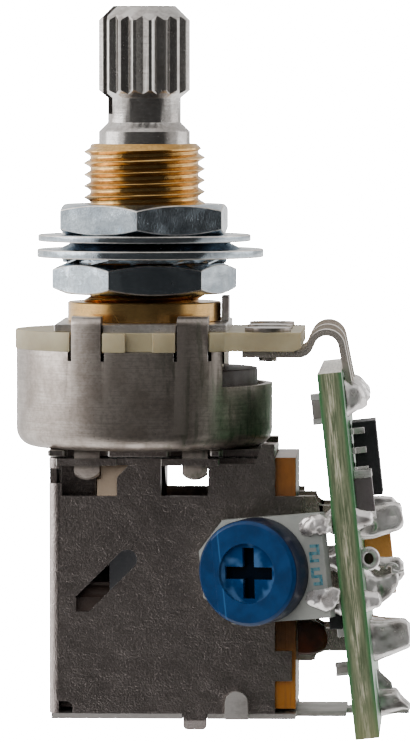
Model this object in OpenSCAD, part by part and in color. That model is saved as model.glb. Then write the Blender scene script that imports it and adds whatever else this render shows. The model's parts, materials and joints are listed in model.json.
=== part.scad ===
// Push-pull rotary potentiometer with a DPDT switch and a small tone board.
// Millimetres. The origin is on the shaft axis, at the bushing's shoulder.
// +Z runs up the shaft, +X points to the circuit board.

/* [Shaft] */
// Radius of the shaft over its spline and its plain part
shaft_r = 3.0; // [2.9:0.05:3.1]
// Height of the shaft's tip above the bushing's shoulder
shaft_top = 19.4; // [17:0.1:24]
// Height of the tip's chamfer
tip_chamfer = 0.95; // [0.5:0.05:1.2]
// Number of spline teeth
spline_teeth = 18; // [12:1:24]
// Depth of a spline groove
spline_depth = 0.28; // [0.2:0.02:0.5]
// Half share of a tooth's pitch that its crest takes
spline_crest = 0.1; // [0.05:0.01:0.3]
// Length of the splined head below the tip's chamfer
spline_len = 4.6; // [3:0.1:6]
// Height of the run-out below the spline
spline_runout = 0.5; // [0.3:0.05:0.8]
// Radius of the neck below the spline
neck_r = 2.4; // [2.1:0.05:2.5]
// Length of the neck
neck_len = 1.6; // [1:0.1:2.5]
// Width of the saw cut that splits the head
slit_w = 1.0; // [0.6:0.05:1.2]
// Depth of the saw cut from the tip
slit_depth = 7.1; // [5:0.1:8]
// Direction of the saw cut, seen from above
slit_angle = 20; // [0:1:90]
// Radius of the flatted stem inside the pot
stem_r = 2.0; // [1.8:0.05:2.3]
// Width over the stem's two flats
stem_flats = 3.0; // [2.6:0.05:3.3]
// Radius of the round rod that reaches into the switch
rod_r = 1.45; // [1.2:0.05:1.5]
// Radius of the retaining groove in the rod
groove_r = 0.9; // [0.7:0.05:1]

/* [Bushing and fasteners] */
// Outer radius of the bushing's thread
thread_r = 4.0; // [3.5:0.05:4.75]
// Pitch of the bushing's thread
thread_pitch = 0.75; // [0.5:0.05:0.8]
// Length of the bushing above its shoulder
bushing_len = 10.35; // [9:0.05:14]
// Chamfer at the bushing's mouth
bushing_chamfer = 0.5; // [0.2:0.05:0.6]
// Radius of the bushing's flange
flange_r = 5.05; // [4.9:0.05:5.1]
// Thickness of the bushing's flange
flange_t = 1.3; // [0.8:0.05:1.6]
// Radial clearance of the shaft in the bushing
shaft_clear = 0.04; // [0.02:0.01:0.08]
// Width across the flats of both nuts
nut_af = 10.6; // [10.4:0.05:12]
// Thickness of a nut
nut_t = 2.0; // [1.6:0.05:2.2]
// Gap between the bushing's shoulder and the lower nut
nut_lift = 0.5; // [0.3:0.05:0.8]
// Turn of the upper nut about the shaft
upper_nut_turn = 28; // [0:1:60]
// Turn of the lower nut about the shaft
lower_nut_turn = 10; // [0:1:60]
// Radial clearance of the flat and toothed washers on the thread
washer_clear = 0.28; // [0.2:0.01:0.4]
// Radial clearance of the dished washer, which rests against the thread on one side
dish_clear = 0.42; // [0.2:0.02:0.5]
// Thickness of the toothed lock washer, over its twisted teeth
lock_t = 0.4; // [0.3:0.05:0.6]
// Radius over the lock washer's teeth
lock_r = 5.4; // [5.2:0.05:6]
// Number of lock washer teeth
lock_teeth = 12; // [8:1:16]
// Radius of the dished washer
dish_r = 7.45; // [6.8:0.05:8]
// Sheet thickness of the dished washer
dish_t = 0.55; // [0.4:0.05:0.7]
// Rise of the dished washer from rim to centre
dish_rise = 0.5; // [0.3:0.05:0.7]
// Radius of the flat washer
flat_washer_r = 7.0; // [6:0.05:7.5]
// Thickness of the flat washer
flat_washer_t = 0.45; // [0.3:0.05:0.6]

/* [Pot body] */
// Thickness of the nickel front plate
plate_t = 0.5; // [0.4:0.05:0.6]
// Half width of the front plate
plate_half_w = 5.6; // [5.4:0.05:6]
// Reach of the front plate's middle strip to front and back
plate_reach = 7.5; // [7.2:0.05:7.8]
// Height of the locating lug above the bushing's shoulder
lug_top = 0.4; // [0.1:0.05:0.45]
// Width of the locating lug
lug_w = 2.4; // [2:0.1:3]
// Thickness of the moulded wafer
wafer_t = 1.25; // [1.1:0.05:1.6]
// Distance by which the wafer stands out over the can
wafer_over = 0.07; // [0.02:0.01:0.3]
// Width of the wafer's tongue beyond the outer terminals' rivets
tongue_edge = 1.5; // [1.4:0.05:2]
// Reach of the wafer's terminal tongue from the axis
tongue_x = 10.45; // [10.2:0.05:10.9]
// Outer radius of the can
can_r = 8.43; // [8.35:0.01:8.45]
// Height of the can from rim to floor
can_h = 6.45; // [6:0.05:7.5]
// Sheet thickness of the can
can_wall = 0.5; // [0.4:0.05:0.55]
// Outer radius of the can's floor corner
can_corner = 1.2; // [0.9:0.05:1.5]
// Half angle of the can's window towards the terminals
can_window_half = 50.6; // [46:0.2:52]
// Depth of the can's window below the rim
can_window_h = 2.3; // [1.8:0.05:2.5]
// Width of a fold-over tab on the can
tab_w = 1.95; // [1.6:0.05:2.1]
// Distance of the tabs from the middle plane
tab_x = 3.45; // [3.4:0.05:3.55]
// Radial clearance of the wiper carrier in the can
rotor_clear = 0.48; // [0.3:0.02:0.8]
// Gap between the wafer and the wiper carrier
rotor_gap = 1.3; // [1:0.05:1.4]

/* [Terminals] */
// Pitch of the three terminals
term_pitch = 5.0; // [4.8:0.05:5.2]
// Width of a terminal strip
term_w = 1.3; // [1:0.05:1.5]
// Thickness of a terminal strip
term_t = 0.42; // [0.35:0.01:0.5]
// Top of the middle terminal's hoop
hoop_top = -1.49; // [-1.7:0.01:-1.4]
// Rise of the hoops from one terminal to the next one back
hoop_step = 0.13; // [0:0.01:0.15]
// Radius of the hoop's centre line
hoop_r = 1.0; // [0.9:0.02:1.1]
// Radius of the bend that lifts a terminal from the wafer
lift_r = 0.75; // [0.6:0.05:0.9]
// Angle by which a terminal is lifted before its hoop
lift_angle = 66; // [60:1:75]
// Length of a terminal's leg along the circuit board
term_leg = 4.1; // [3.4:0.05:4.4]
// Lean of a terminal's leg away from the board
leg_splay = 5; // [0:0.5:6]
// Distance of the terminals' rivets from the shaft axis
rivet_x = 8.26; // [8.1:0.02:8.5]
// Radius of a rivet head
rivet_r = 1.5; // [1.2:0.05:1.6]

/* [Switch] */
// Left end of the switch shell
shell_x0 = -6.0; // [-6.4:0.05:-5.8]
// Right end of the switch shell's walls
shell_x1 = 8.74; // [8.6:0.02:9]
// Depth of the switch shell from front to back
shell_d = 11.0; // [10.8:0.1:12]
// Height of the switch shell's walls
shell_h = 16.65; // [16.4:0.05:17.5]
// Sheet thickness of the switch shell
sheet_t = 0.45; // [0.4:0.01:0.5]
// Outer bend radius of the switch shell
bend_r = 0.65; // [0.6:0.05:0.8]
// Travel of the switch when the shaft is pulled
travel = 4.0; // [3:0.1:4]
// Width of the phenolic terminal board's edge
phenolic_t = 1.35; // [1.2:0.05:1.6]
// Gap left under the phenolic terminal board
phenolic_gap = 0.3; // [0.1:0.05:0.5]
// Pitch between the rows of switch lugs
row_pitch = 4.03; // [3.9:0.01:4.1]
// Distance of a column of switch lugs from the shell's side
lug_in = 2.55; // [2.4:0.05:2.8]
// Height of the middle row of switch lugs above the shell's bottom
lug_mid_h = 8.67; // [8.5:0.01:8.8]
// Thickness of a switch lug
lug_t = 0.45; // [0.4:0.01:0.5]
// Height of a switch lug's blade
lug_h = 1.5; // [1.3:0.05:1.6]
// Height of a switch lug's root
lug_root_h = 2.7; // [2.4:0.05:2.9]
// Length by which a lug's tip passes the circuit board
lug_tip = 1.7; // [1.2:0.05:2]
// Height of the slider
slider_h = 8.15; // [7.6:0.05:8.4]

/* [Circuit board] */
// Lean of the circuit board
board_tilt = 6.05; // [5.5:0.05:6.5]
// Distance of the board's top inner edge from the shaft axis
board_x = 11.55; // [11.5:0.02:11.8]
// Height of the board's top inner edge
board_z = -4.33; // [-4.4:0.01:-4.2]
// Length of the board
board_len = 23.75; // [23.6:0.05:25]
// Width of the board beyond the trimmer's front legs
board_margin = 0.9; // [0.7:0.05:1.5]
// Thickness of the board
board_t = 1.58; // [1.5:0.02:1.7]
// Height of a solder joint over a lug
joint_h = 2.5; // [2:0.05:2.8]
// Radius of a solder joint's foot
joint_r = 1.35; // [1.2:0.05:1.6]

/* [Trimmer] */
// Radius of the trimmer's turning disc
trim_r = 3.45; // [3.2:0.05:3.5]
// Thickness of the trimmer's turning disc
trim_t = 2.1; // [1.9:0.05:2.5]
// Thickness of the trimmer's base
trim_base_t = 0.8; // [0.6:0.05:0.9]
// Height of the trimmer's base
trim_base_h = 6.8; // [6.6:0.05:7]
// Length of the trimmer's base
trim_base_l = 8.8; // [8.2:0.05:8.8]
// Turn of the trimmer away from the board's front edge
trim_turn = 22; // [20:0.5:24]
// Distance of the trimmer's disc centre from the board's inner face
trim_off = 5.82; // [5.7:0.02:5.9]
// Distance of the trimmer's disc centre from the board's top edge
trim_s = 12.27; // [12:0.02:12.5]
// Distance by which the trimmer's front face stands ahead of the switch shell
trim_stand = 5.3; // [5.25:0.05:5.7]
// Radius of the recess around the trimmer's cross slot
trim_recess_r = 1.95; // [1.7:0.05:2.1]
// Length of the trimmer's cross slot
cross_len = 3.3; // [2.2:0.05:3.4]
// Width of the trimmer's cross slot
cross_w = 0.8; // [0.5:0.05:0.9]
// Turn of the cross slot from upright
cross_turn = 5; // [0:1:45]

/* [Parts on the board] */
// Length of the amplifier chip's body
chip_l = 4.9; // [4.6:0.05:5.1]
// Width of the amplifier chip's body
chip_w = 3.9; // [3.7:0.05:4.1]
// Height of the amplifier chip above the board
chip_h = 1.7; // [1.4:0.05:1.8]
// Pitch of the amplifier chip's leads
lead_pitch = 1.27; // [1.2:0.01:1.3]

/* [Hidden] */
$fn = 64;

// Colours
nickel = [0.66, 0.65, 0.62];
zinc = [0.72, 0.75, 0.78];
brass = [0.80, 0.62, 0.30];
dark_steel = [0.34, 0.33, 0.32];
solder = [0.78, 0.78, 0.79];
phenolic = [0.62, 0.34, 0.08];
wafer_colour = [0.80, 0.76, 0.62];
dark_plastic = [0.16, 0.13, 0.12];
cream_plastic = [0.80, 0.70, 0.58];
black_epoxy = [0.09, 0.09, 0.10];

// Small overlap that keeps cuts clean
eps = 0.01;
// Gap left between flat pieces that rest on each other
seat = 0.02;

// Heights of the stack on the bushing, from the shoulder upwards
z_lower_nut = nut_lift;
z_lock = z_lower_nut + nut_t;
z_dish = z_lock + lock_t;
z_flat = z_dish + dish_t + dish_rise;
z_upper_nut = z_flat + flat_washer_t;
z_exposed = z_upper_nut + nut_t;
// Nuts and thread meet at the pitch radius
thread_mid_r = thread_r - 0.325 * thread_pitch;
washer_bore = thread_r + washer_clear;
dish_bore = thread_r + dish_clear;
dish_shift = dish_clear - 0.03;
// Bore of the front plate, and the rim by which the bushing is riveted into it
plate_bore = 4.2;
rim_w = 0.4;
rim_t = 0.4;
wafer_bore = plate_bore + rim_w + 0.2;

// Heights of the pot, from the shoulder downwards
z_plate = -flange_t - plate_t;
z_wafer = z_plate - wafer_t;
z_can_floor = z_wafer - can_h;
z_rotor_top = z_wafer - rotor_gap;
z_floor_in = z_can_floor + can_wall;
tongue_w = 2 * (term_pitch + tongue_edge);
wafer_r = can_r + wafer_over;
rotor_r = can_r - can_wall - rotor_clear;
// Holes for the rivets in the wafer, and for their shanks in the terminals
rivet_hole_r = 0.8;
shank_hole_r = 0.55;
// Room beside the can's tabs, and where their folded ends stop
tab_clear = 0.12;
tab_end_r = 6.0;

// Heights of the shaft
z_crest = shaft_top - tip_chamfer;
z_spline_end = z_crest - spline_len;
z_neck = z_spline_end - spline_runout;
z_shoulder = z_neck - neck_len;
shoulder_chamfer = shaft_r - neck_r;
z_plain_end = -1.0;
z_stem_end = z_floor_in - 0.4;
rod_tail = 1.6;

// Heights of the switch
z_adapter = z_can_floor - sheet_t;
z_shell_top = z_adapter - 0.1;
z_shell_bottom = z_shell_top - shell_h;
z_base_plate = z_shell_bottom - 0.35;
window_h = 2.45;
z_window = z_shell_top - window_h;
shell_half = shell_d / 2;
wall_in = shell_half - sheet_t;
column_pitch = 2 * (wall_in - lug_in);
lug_mid_z = z_shell_bottom + lug_mid_h;
lug_rows = [lug_mid_z + row_pitch, lug_mid_z, lug_mid_z - row_pitch];
z_phenolic_top = z_shell_top + 0.05;
z_phenolic = z_shell_bottom + phenolic_gap;
cover_t = 0.45;
// Hole and place of the peg through the phenolic board
peg_r = 0.42;
peg_y = wall_in - 1.15;
peg_z = lug_rows[2] - 1.44;

// Slider and its rest place
z_slider = z_shell_bottom + 0.35;
z_slider_top = z_slider + slider_h;
z_groove = z_slider_top - 1.25;
groove_h = 0.6;
// Rib of the detent spring, and the slider's groove that it clicks into
z_rib = z_slider_top - 0.6;
rib_r = 0.42;

// Places of the trimmer's front face and front legs, and the board's width over them
trim_y = shell_half + trim_stand;
leg_y = -trim_y + 1.7;
board_w = 2 * (board_margin - leg_y);

// Board geometry: outer face, and where a height meets a face
function board_face_x(z, w) =
    board_x + (w - (z - board_z) * sin(board_tilt)) / cos(board_tilt);
function board_s(z, w) =
    (board_face_x(z, w) - board_x) * sin(board_tilt) - (z - board_z) * cos(board_tilt);

// A cylinder between two heights
module rod(r, z0, z1) translate([0, 0, z0]) cylinder(r = r, h = z1 - z0);

// A block given by its lowest and highest corners
module block(low, high) translate(low) cube(high - low);

// Puts children on the board: x out of its outer side, z up along it
module on_board() translate([board_x, 0, board_z]) rotate([0, -board_tilt, 0]) children();

// Puts children in the trimmer: the disc faces -y, its front centre is the origin
module in_trimmer() on_board() translate([-trim_off, -trim_y, -trim_s])
    rotate([0, 0, -trim_turn]) children();

// A flat tab in the xz plane with round lower corners, between two corners, y forwards
module round_tab(low, high, r, y, t) translate([0, y, 0]) rotate([90, 0, 0])
    linear_extrude(t) {
        w = high[0] - low[0];
        translate([low[0], low[1] + r]) square([w, high[1] - low[1] - r]);
        translate([low[0] + r, low[1]]) square([w - 2 * r, r + eps]);
        for (x = [low[0] + r, high[0] - r]) translate([x, low[1] + r]) circle(r);
    }

// Mirrors children to the back of the part as well
module front_and_back() {
    children();
    mirror([0, 1, 0]) children();
}

// Mirrors children to the other side of the shaft as well
module both_sides() {
    children();
    mirror([1, 0, 0]) children();
}

// A bent strip in the xz plane: each step is [length] or [radius, angle], angle up positive
module bent_strip(steps, w, t, i = 0) {
    if (i < len(steps)) {
        step = steps[i];
        if (len(step) == 1) {
            translate([-eps, -w / 2, -t / 2]) cube([step[0] + 2 * eps, w, t]);
            translate([step[0], 0, 0]) bent_strip(steps, w, t, i + 1);
        } else {
            up = step[1] > 0 ? 1 : -1;
            r = step[0];
            turn = abs(step[1]);
            translate([0, 0, up * r]) rotate([90, 0, 0]) rotate([0, 0, up > 0 ? -90 : 90 - turn])
                rotate_extrude(angle = turn) translate([r - t / 2, -w / 2]) square([t, w]);
            translate([r * sin(turn), 0, up * r * (1 - cos(turn))])
                rotate([0, -up * turn, 0]) bent_strip(steps, w, t, i + 1);
        }
    }
}

// Outline of a cup's half section with a round floor corner
module cup_section(r, h, corner) {
    square([r - corner, h]);
    translate([0, corner]) square([r, h - corner]);
    translate([r - corner, corner]) circle(corner);
}

// Splined section of the shaft's head
module spline_section() {
    step = 360 / spline_teeth;
    root_r = shaft_r - spline_depth;
    polygon([for (i = [0 : spline_teeth - 1]) each [
        [shaft_r * cos(step * (i - spline_crest)), shaft_r * sin(step * (i - spline_crest))],
        [shaft_r * cos(step * i), shaft_r * sin(step * i)],
        [shaft_r * cos(step * (i + spline_crest)), shaft_r * sin(step * (i + spline_crest))],
        [root_r * cos(step * (i + 0.5)), root_r * sin(step * (i + 0.5))]]]);
}

module shaft() color(nickel) difference() {
    union() {
        intersection() {
            translate([0, 0, z_neck]) linear_extrude(shaft_top - z_neck) spline_section();
            rotate_extrude() polygon([[0, z_neck], [neck_r, z_neck], [shaft_r, z_spline_end],
                [shaft_r, z_crest], [shaft_r - tip_chamfer, shaft_top], [0, shaft_top]]);
        }
        rotate_extrude() polygon([[0, z_plain_end], [shaft_r, z_plain_end],
            [shaft_r, z_shoulder - shoulder_chamfer], [neck_r, z_shoulder],
            [neck_r, z_neck + eps], [0, z_neck + eps]]);
        intersection() {
            rod(stem_r, z_stem_end, z_plain_end);
            translate([0, 0, z_floor_in]) cube([stem_flats, 4 * stem_r, 40], center = true);
        }
        rod(rod_r, z_groove + groove_h, z_stem_end);
        rod(groove_r, z_groove, z_groove + groove_h);
        rod(rod_r, z_groove - rod_tail, z_groove);
    }
    rotate([0, 0, slit_angle]) translate([-shaft_r - 1, -slit_w / 2, shaft_top - slit_depth])
        cube([2 * shaft_r + 2, slit_w, slit_depth + 1]);
}

module bushing() color(brass) rotate_extrude() difference() {
    polygon([[0, z_plate - rim_t], [plate_bore + rim_w, z_plate - rim_t],
        [plate_bore + rim_w, z_plate], [plate_bore, z_plate],
        [plate_bore, -flange_t], [flange_r, -flange_t], [flange_r, 0],
        [thread_r, 0], [thread_r, z_lower_nut],
        [thread_mid_r, z_lower_nut], [thread_mid_r, z_lock], [thread_r, z_lock],
        [thread_r, z_upper_nut], [thread_mid_r, z_upper_nut], [thread_mid_r, z_exposed],
        [thread_r, z_exposed], [thread_r, bushing_len - bushing_chamfer],
        [thread_r - bushing_chamfer, bushing_len], [0, bushing_len]]);
    translate([0, z_plate - 1]) square([shaft_r + shaft_clear, bushing_len + 6]);
}

// A hexagon nut with chamfered corners, standing on z = 0
module nut(turn) {
    corner_r = nut_af / 2 / cos(30);
    chamfer_h = 0.4;
    face_r = nut_af / 2 - 0.1;
    wide_r = corner_r + 0.05;
    difference() {
        intersection() {
            rotate([0, 0, turn]) cylinder(r = corner_r, h = nut_t, $fn = 6);
            rotate_extrude() polygon([[0, 0], [face_r, 0], [wide_r, chamfer_h],
                [wide_r, nut_t - chamfer_h], [face_r, nut_t], [0, nut_t]]);
        }
        translate([0, 0, -1]) cylinder(r = thread_mid_r, h = nut_t + 2);
    }
}

module upper_nut() color(zinc) translate([0, 0, z_upper_nut]) nut(upper_nut_turn);

module lower_nut() color(zinc) translate([0, 0, z_lower_nut]) nut(lower_nut_turn);

module flat_washer() color(zinc) difference() {
    rod(flat_washer_r, z_flat, z_upper_nut);
    rod(washer_bore, z_flat - 1, z_upper_nut + 1);
}

module dished_washer() color(zinc) {
    rim = dish_r - 1.4;
    translate([dish_shift, 0, z_dish]) rotate_extrude() polygon([[dish_bore, dish_rise],
        [rim, 0], [dish_r, 0], [dish_r, dish_t], [rim, dish_t],
        [dish_bore + 0.6, dish_rise + dish_t], [dish_bore, dish_rise + dish_t]]);
}

// Length, width and twist of a lock washer's tooth
tooth = [1.1, 1.35];
tooth_twist = 12;
module lock_washer() color(zinc) translate([0, 0, z_lock + lock_t / 2]) difference() {
    union() {
        cylinder(r = lock_r - 0.7, h = lock_t / 2, center = true);
        for (i = [0 : lock_teeth - 1]) rotate([0, 0, 360 / lock_teeth * i])
            translate([lock_r - tooth[0] / 2, 0, 0]) rotate([tooth_twist, 0, 0])
            cube([tooth[0], tooth[1], lock_t / 4], center = true);
    }
    cylinder(r = washer_bore, h = 2, center = true);
}

// Columns through the tabs that fold over the front plate
module tab_columns(extra = 0) both_sides() front_and_back()
    block([tab_x - tab_w / 2 - extra, -can_r - 1, z_can_floor],
        [tab_x + tab_w / 2 + extra, -4, 1]);

module front_plate() color(nickel) difference() {
    half_d = tab_end_r + 0.1;
    strip = tab_x - tab_w / 2 - 0.075;
    step = [4.4, 6.9];
    union() {
        block([-plate_half_w, -half_d, z_plate], [plate_half_w, half_d, -flange_t]);
        block([-strip, -plate_reach, z_plate], [strip, plate_reach, -flange_t]);
        intersection() {
            block([-step[0], -step[1], z_plate], [step[0], step[1], -flange_t]);
            rod(can_r - can_wall - 0.05, z_plate, -flange_t);
        }
        block([plate_half_w - plate_t, -lug_w / 2, z_plate], [plate_half_w, lug_w / 2, lug_top]);
    }
    rod(plate_bore, z_plate - 1, 0);
}

module wafer() color(wafer_colour) difference() {
    union() {
        rod(wafer_r, z_wafer, z_plate);
        block([0, -tongue_w / 2, z_wafer], [tongue_x, tongue_w / 2, z_plate]);
    }
    rod(wafer_bore, z_wafer - 1, 0);
    // Notches for the can's tabs, and a key notch between them
    notch = tab_w / 2 + tab_clear;
    key = [0.88, 7.6];
    both_sides() front_and_back() block([tab_x - notch, -can_r - 1, z_wafer - 1],
        [tab_x + notch, -tab_end_r - 0.45, 0]);
    front_and_back() block([-key[0], -can_r - 1, z_wafer - 1], [key[0], -key[1], 0]);
    // Bevel under the tongue's end, where the terminals bend up
    translate([tongue_x, tongue_w / 2 + 1, z_wafer]) rotate([90, 0, 0])
        linear_extrude(tongue_w + 2) polygon([[-0.5, 0], [0.01, 0.22], [0.01, -1], [-0.5, -1]]);
    for (i = [-1 : 1]) translate([rivet_x, i * term_pitch, z_wafer - 1])
        cylinder(r = rivet_hole_r, h = wafer_t + 2);
}

// Horseshoe track and collector ring printed on the wafer's underside
track_t = 0.08;
track = [rotor_r - 1.55, 1.3];
collector = [wafer_bore + 0.15, 0.6];
module resistance_track() color(black_epoxy) translate([0, 0, z_wafer - track_t]) {
    rotate([0, 0, 30]) rotate_extrude(angle = 300) translate([track[0], 0])
        square([track[1], track_t]);
    rotate_extrude() translate([collector[0], 0]) square([collector[1], track_t]);
}

// One terminal: flat under the wafer, hoop over the board's top edge, leg down its outer face
module pot_terminal(i) {
    mid_z = z_wafer - term_t / 2;
    hoop_z = hoop_top + i * hoop_step - term_t / 2 - hoop_r;
    // The leg leans on the board's upper outer edge
    lean = board_tilt + leg_splay;
    edge = [board_x + board_t * cos(board_tilt), board_z + board_t * sin(board_tilt)];
    inside = hoop_r - term_t / 2 - seat;
    hoop_x = edge[0] - (inside - (edge[1] - hoop_z) * sin(lean)) / cos(lean);
    rise = hoop_z - mid_z - lift_r * (1 - cos(lift_angle)) + hoop_r * cos(lift_angle);
    slant = rise / sin(lift_angle);
    bend_x = hoop_x - (lift_r + hoop_r) * sin(lift_angle) - slant * cos(lift_angle);
    flat_x = 6.6;
    color(nickel) difference() {
        translate([flat_x, i * term_pitch, mid_z]) bent_strip([[bend_x - flat_x],
            [lift_r, lift_angle], [slant], [hoop_r, -lift_angle - 90 + lean], [term_leg]],
            term_w, term_t);
        translate([rivet_x, i * term_pitch, z_wafer - 1]) cylinder(r = shank_hole_r, h = 2);
    }
}

module pot_terminal_1() pot_terminal(-1);
module pot_terminal_2() pot_terminal(0);
module pot_terminal_3() pot_terminal(1);

module terminal_rivets() color(nickel) for (i = [-1 : 1])
    translate([rivet_x, i * term_pitch, 0]) {
        rod(rivet_r, z_plate, z_plate + 0.28);
        rod(rivet_hole_r - seat, z_wafer, z_plate);
        rod(shank_hole_r - seat, z_wafer - term_t, z_wafer);
        rod(shank_hole_r + 0.05, z_wafer - term_t - 0.25, z_wafer - term_t);
    }

// Wall and folded lip of the can's tabs, as a ring
module tab_ring() rotate_extrude() {
    fold = 0.1;
    lip_z = -flange_t + seat;
    translate([can_r - can_wall, z_wafer - 0.5]) square([can_wall, lip_z - fold - z_wafer + 0.5]);
    intersection() {
        translate([can_r - can_wall - fold, lip_z - fold]) difference() {
            circle(fold + can_wall);
            circle(fold);
        }
        translate([can_r - can_wall - fold, lip_z - fold]) square(2);
    }
    translate([tab_end_r, lip_z]) square([can_r - can_wall - fold - tab_end_r, can_wall]);
}

// Place and size of the tabs that hang from the can's floor into the switch
hanger_x = 3.52;
hanger_w = 1.65;
hanger_y = shell_half - 0.3;
hanger_t = 0.35;
hanger_bend = 30;
z_hanger_bend = z_shell_top - 0.6;

module can() color(nickel) {
    difference() {
        translate([0, 0, z_can_floor]) rotate_extrude() difference() {
            cup_section(can_r, can_h, can_corner);
            translate([0, can_wall])
                cup_section(can_r - can_wall, can_h, can_corner - can_wall);
        }
        rod(stem_r + 0.35, z_can_floor - 1, z_floor_in + 1);
        rotate([0, 0, -can_window_half]) rotate_extrude(angle = 2 * can_window_half)
            translate([can_r - 1.5, z_wafer - can_window_h]) square([3, can_window_h + 1]);
        both_sides() front_and_back() for (side = [-1, 1])
            translate([tab_x + side * (tab_w / 2 + tab_clear), -can_r, z_wafer])
            cube([2 * tab_clear, 4, 1.2], center = true);
    }
    intersection() {
        tab_ring();
        tab_columns();
    }
    both_sides() front_and_back() {
        block([hanger_x - hanger_w / 2, -hanger_y, z_hanger_bend],
            [hanger_x + hanger_w / 2, -hanger_y + hanger_t, z_can_floor + 0.2]);
        translate([hanger_x, -hanger_y, z_hanger_bend]) rotate([-hanger_bend, 0, 0]) intersection() {
            block([-hanger_w / 2, 0, -0.75], [hanger_w / 2, hanger_t, eps]);
            translate([0, -1, 0.3]) rotate([-90, 0, 0]) cylinder(r = 1.05, h = 3);
        }
    }
}

// Wiper carrier: hub over its web, thickness of the web and of the skirt
hub_r = 3.6;
web_t = 1.3;
skirt_t = 1.1;
module wiper_carrier() color(dark_plastic) difference() {
    rotate_extrude() polygon([[0, z_floor_in + seat], [stem_r + 1.2, z_floor_in + seat],
        [stem_r + 1.2, z_rotor_top - web_t], [rotor_r - skirt_t, z_rotor_top - web_t],
        [rotor_r - skirt_t, z_floor_in + 0.9], [rotor_r, z_floor_in + 0.9],
        [rotor_r, z_rotor_top], [hub_r, z_rotor_top], [hub_r, z_rotor_top + 0.75],
        [0, z_rotor_top + 0.75]]);
    intersection() {
        rod(stem_r + 0.05, z_can_floor, 0);
        translate([0, 0, z_rotor_top]) cube([stem_flats + 0.1, 4 * stem_r, 20], center = true);
    }
}

// Spring wiper: a ring round the hub and two fingers up to the track
module wiper() color(brass) {
    t = 0.2;
    bend = 0.8;
    up = 40;
    ring_r = hub_r + 1.6;
    rise = rotor_gap - track_t - t - 0.05;
    difference() {
        rod(ring_r, z_rotor_top, z_rotor_top + t);
        rod(hub_r + 0.05, z_rotor_top - 1, z_rotor_top + 1);
    }
    for (a = [-14, 14]) rotate([0, 0, 180 + a]) translate([ring_r - 0.3, 0, z_rotor_top + t / 2])
        bent_strip([[0.3], [bend, up], [(rise - 2 * bend * (1 - cos(up))) / sin(up)],
            [bend, -up], [0.1]], 0.7, t);
}

// Plate under the can that carries the switch
module adapter_plate() color(dark_steel) difference() {
    notch_y = hanger_y - hanger_t - 0.1;
    left = shell_x0 - 0.08;
    union() {
        block([left, -notch_y, z_adapter], [shell_x1, notch_y, z_can_floor]);
        // Edge tabs between and beside the can's hangers: [start, end, reach]
        front_and_back() for (tab = [[left, -4.95, 0], [-2.15, 1.8, 0.1], [4.5, 5.2, 0]])
            block([tab[0], -shell_half - tab[2], z_adapter],
                [tab[1], -notch_y + eps, z_can_floor]);
    }
    rod(stem_r + 0.4, z_adapter - 1, z_can_floor + 1);
}

// Upper cover of the switch, with tongues that lie in the shell's windows
tongue_left = [-5.52, -1.55];
tongue_right = [1.3, 5.1];
module switch_top_plate() color(dark_steel) difference() {
    top = z_shell_top - seat;
    low = top - cover_t;
    union() {
        block([shell_x0 + sheet_t + 0.1, -wall_in + 0.05, low], [shell_x1 - 0.1, wall_in - 0.05, top]);
        front_and_back() for (x = [tongue_left, tongue_right])
            block([x[0] + 0.02, -shell_half - 0.1, low], [x[1] - 0.02, -wall_in + 0.1, top]);
        // Skirts bent down behind the walls
        front_and_back() block([shell_x0 + bend_r, -wall_in + 0.9, low - 2.4],
            [-2.98, -wall_in + 1.3, top]);
    }
    rod(rod_r + 0.55, low - 1, top + 1);
    both_sides() front_and_back() block([hanger_x - hanger_w / 2 - 0.05, -hanger_y - 0.03, low - 1],
        [hanger_x + hanger_w / 2 + 0.05, -hanger_y + hanger_t + 0.3, top + 1]);
}

// Plan of the folded shell: a wall on three sides, open to the terminal board
module shell_plan() {
    module outline(inset, r) translate([shell_x0 + inset, -shell_half + inset]) {
        w = shell_x1 - shell_x0 - inset;
        d = shell_d - 2 * inset;
        translate([r, 0]) square([w - r, d]);
        translate([0, r]) square([w, d - 2 * r]);
        for (y = [r, d - r]) translate([r, y]) circle(r);
    }
    difference() {
        outline(0, bend_r);
        translate([eps, 0]) outline(sheet_t, bend_r - sheet_t);
        translate([shell_x1 - 1, -wall_in]) square([3, 2 * wall_in]);
    }
}

// Openings cut in the front wall and in the back wall alike
module wall_openings() {
    cut_y = [-shell_half - 1, -wall_in + 0.6];
    block([-5.14, cut_y[0], z_window], [tongue_left[1], cut_y[1], 0]);
    block([tongue_right[0], cut_y[0], z_window], [hanger_x + hanger_w / 2 + 0.05, cut_y[1], 0]);
    block([tongue_left[0], cut_y[0], z_shell_top - 0.5], [tongue_left[1], cut_y[1], 0]);
    block([tongue_right[0], cut_y[0], z_shell_top - 0.5], [tongue_right[1], cut_y[1], 0]);
    block([5.0, cut_y[0], z_shell_top - 0.35], [7.45, cut_y[1], 0]);
    translate([0, cut_y[1], 0]) rotate([90, 0, 0]) linear_extrude(2)
        polygon([[-1.6, z_shell_top - 0.4], [-0.75, z_shell_top - 0.4], [-1.6, z_shell_top - 1.3]]);
}

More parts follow.
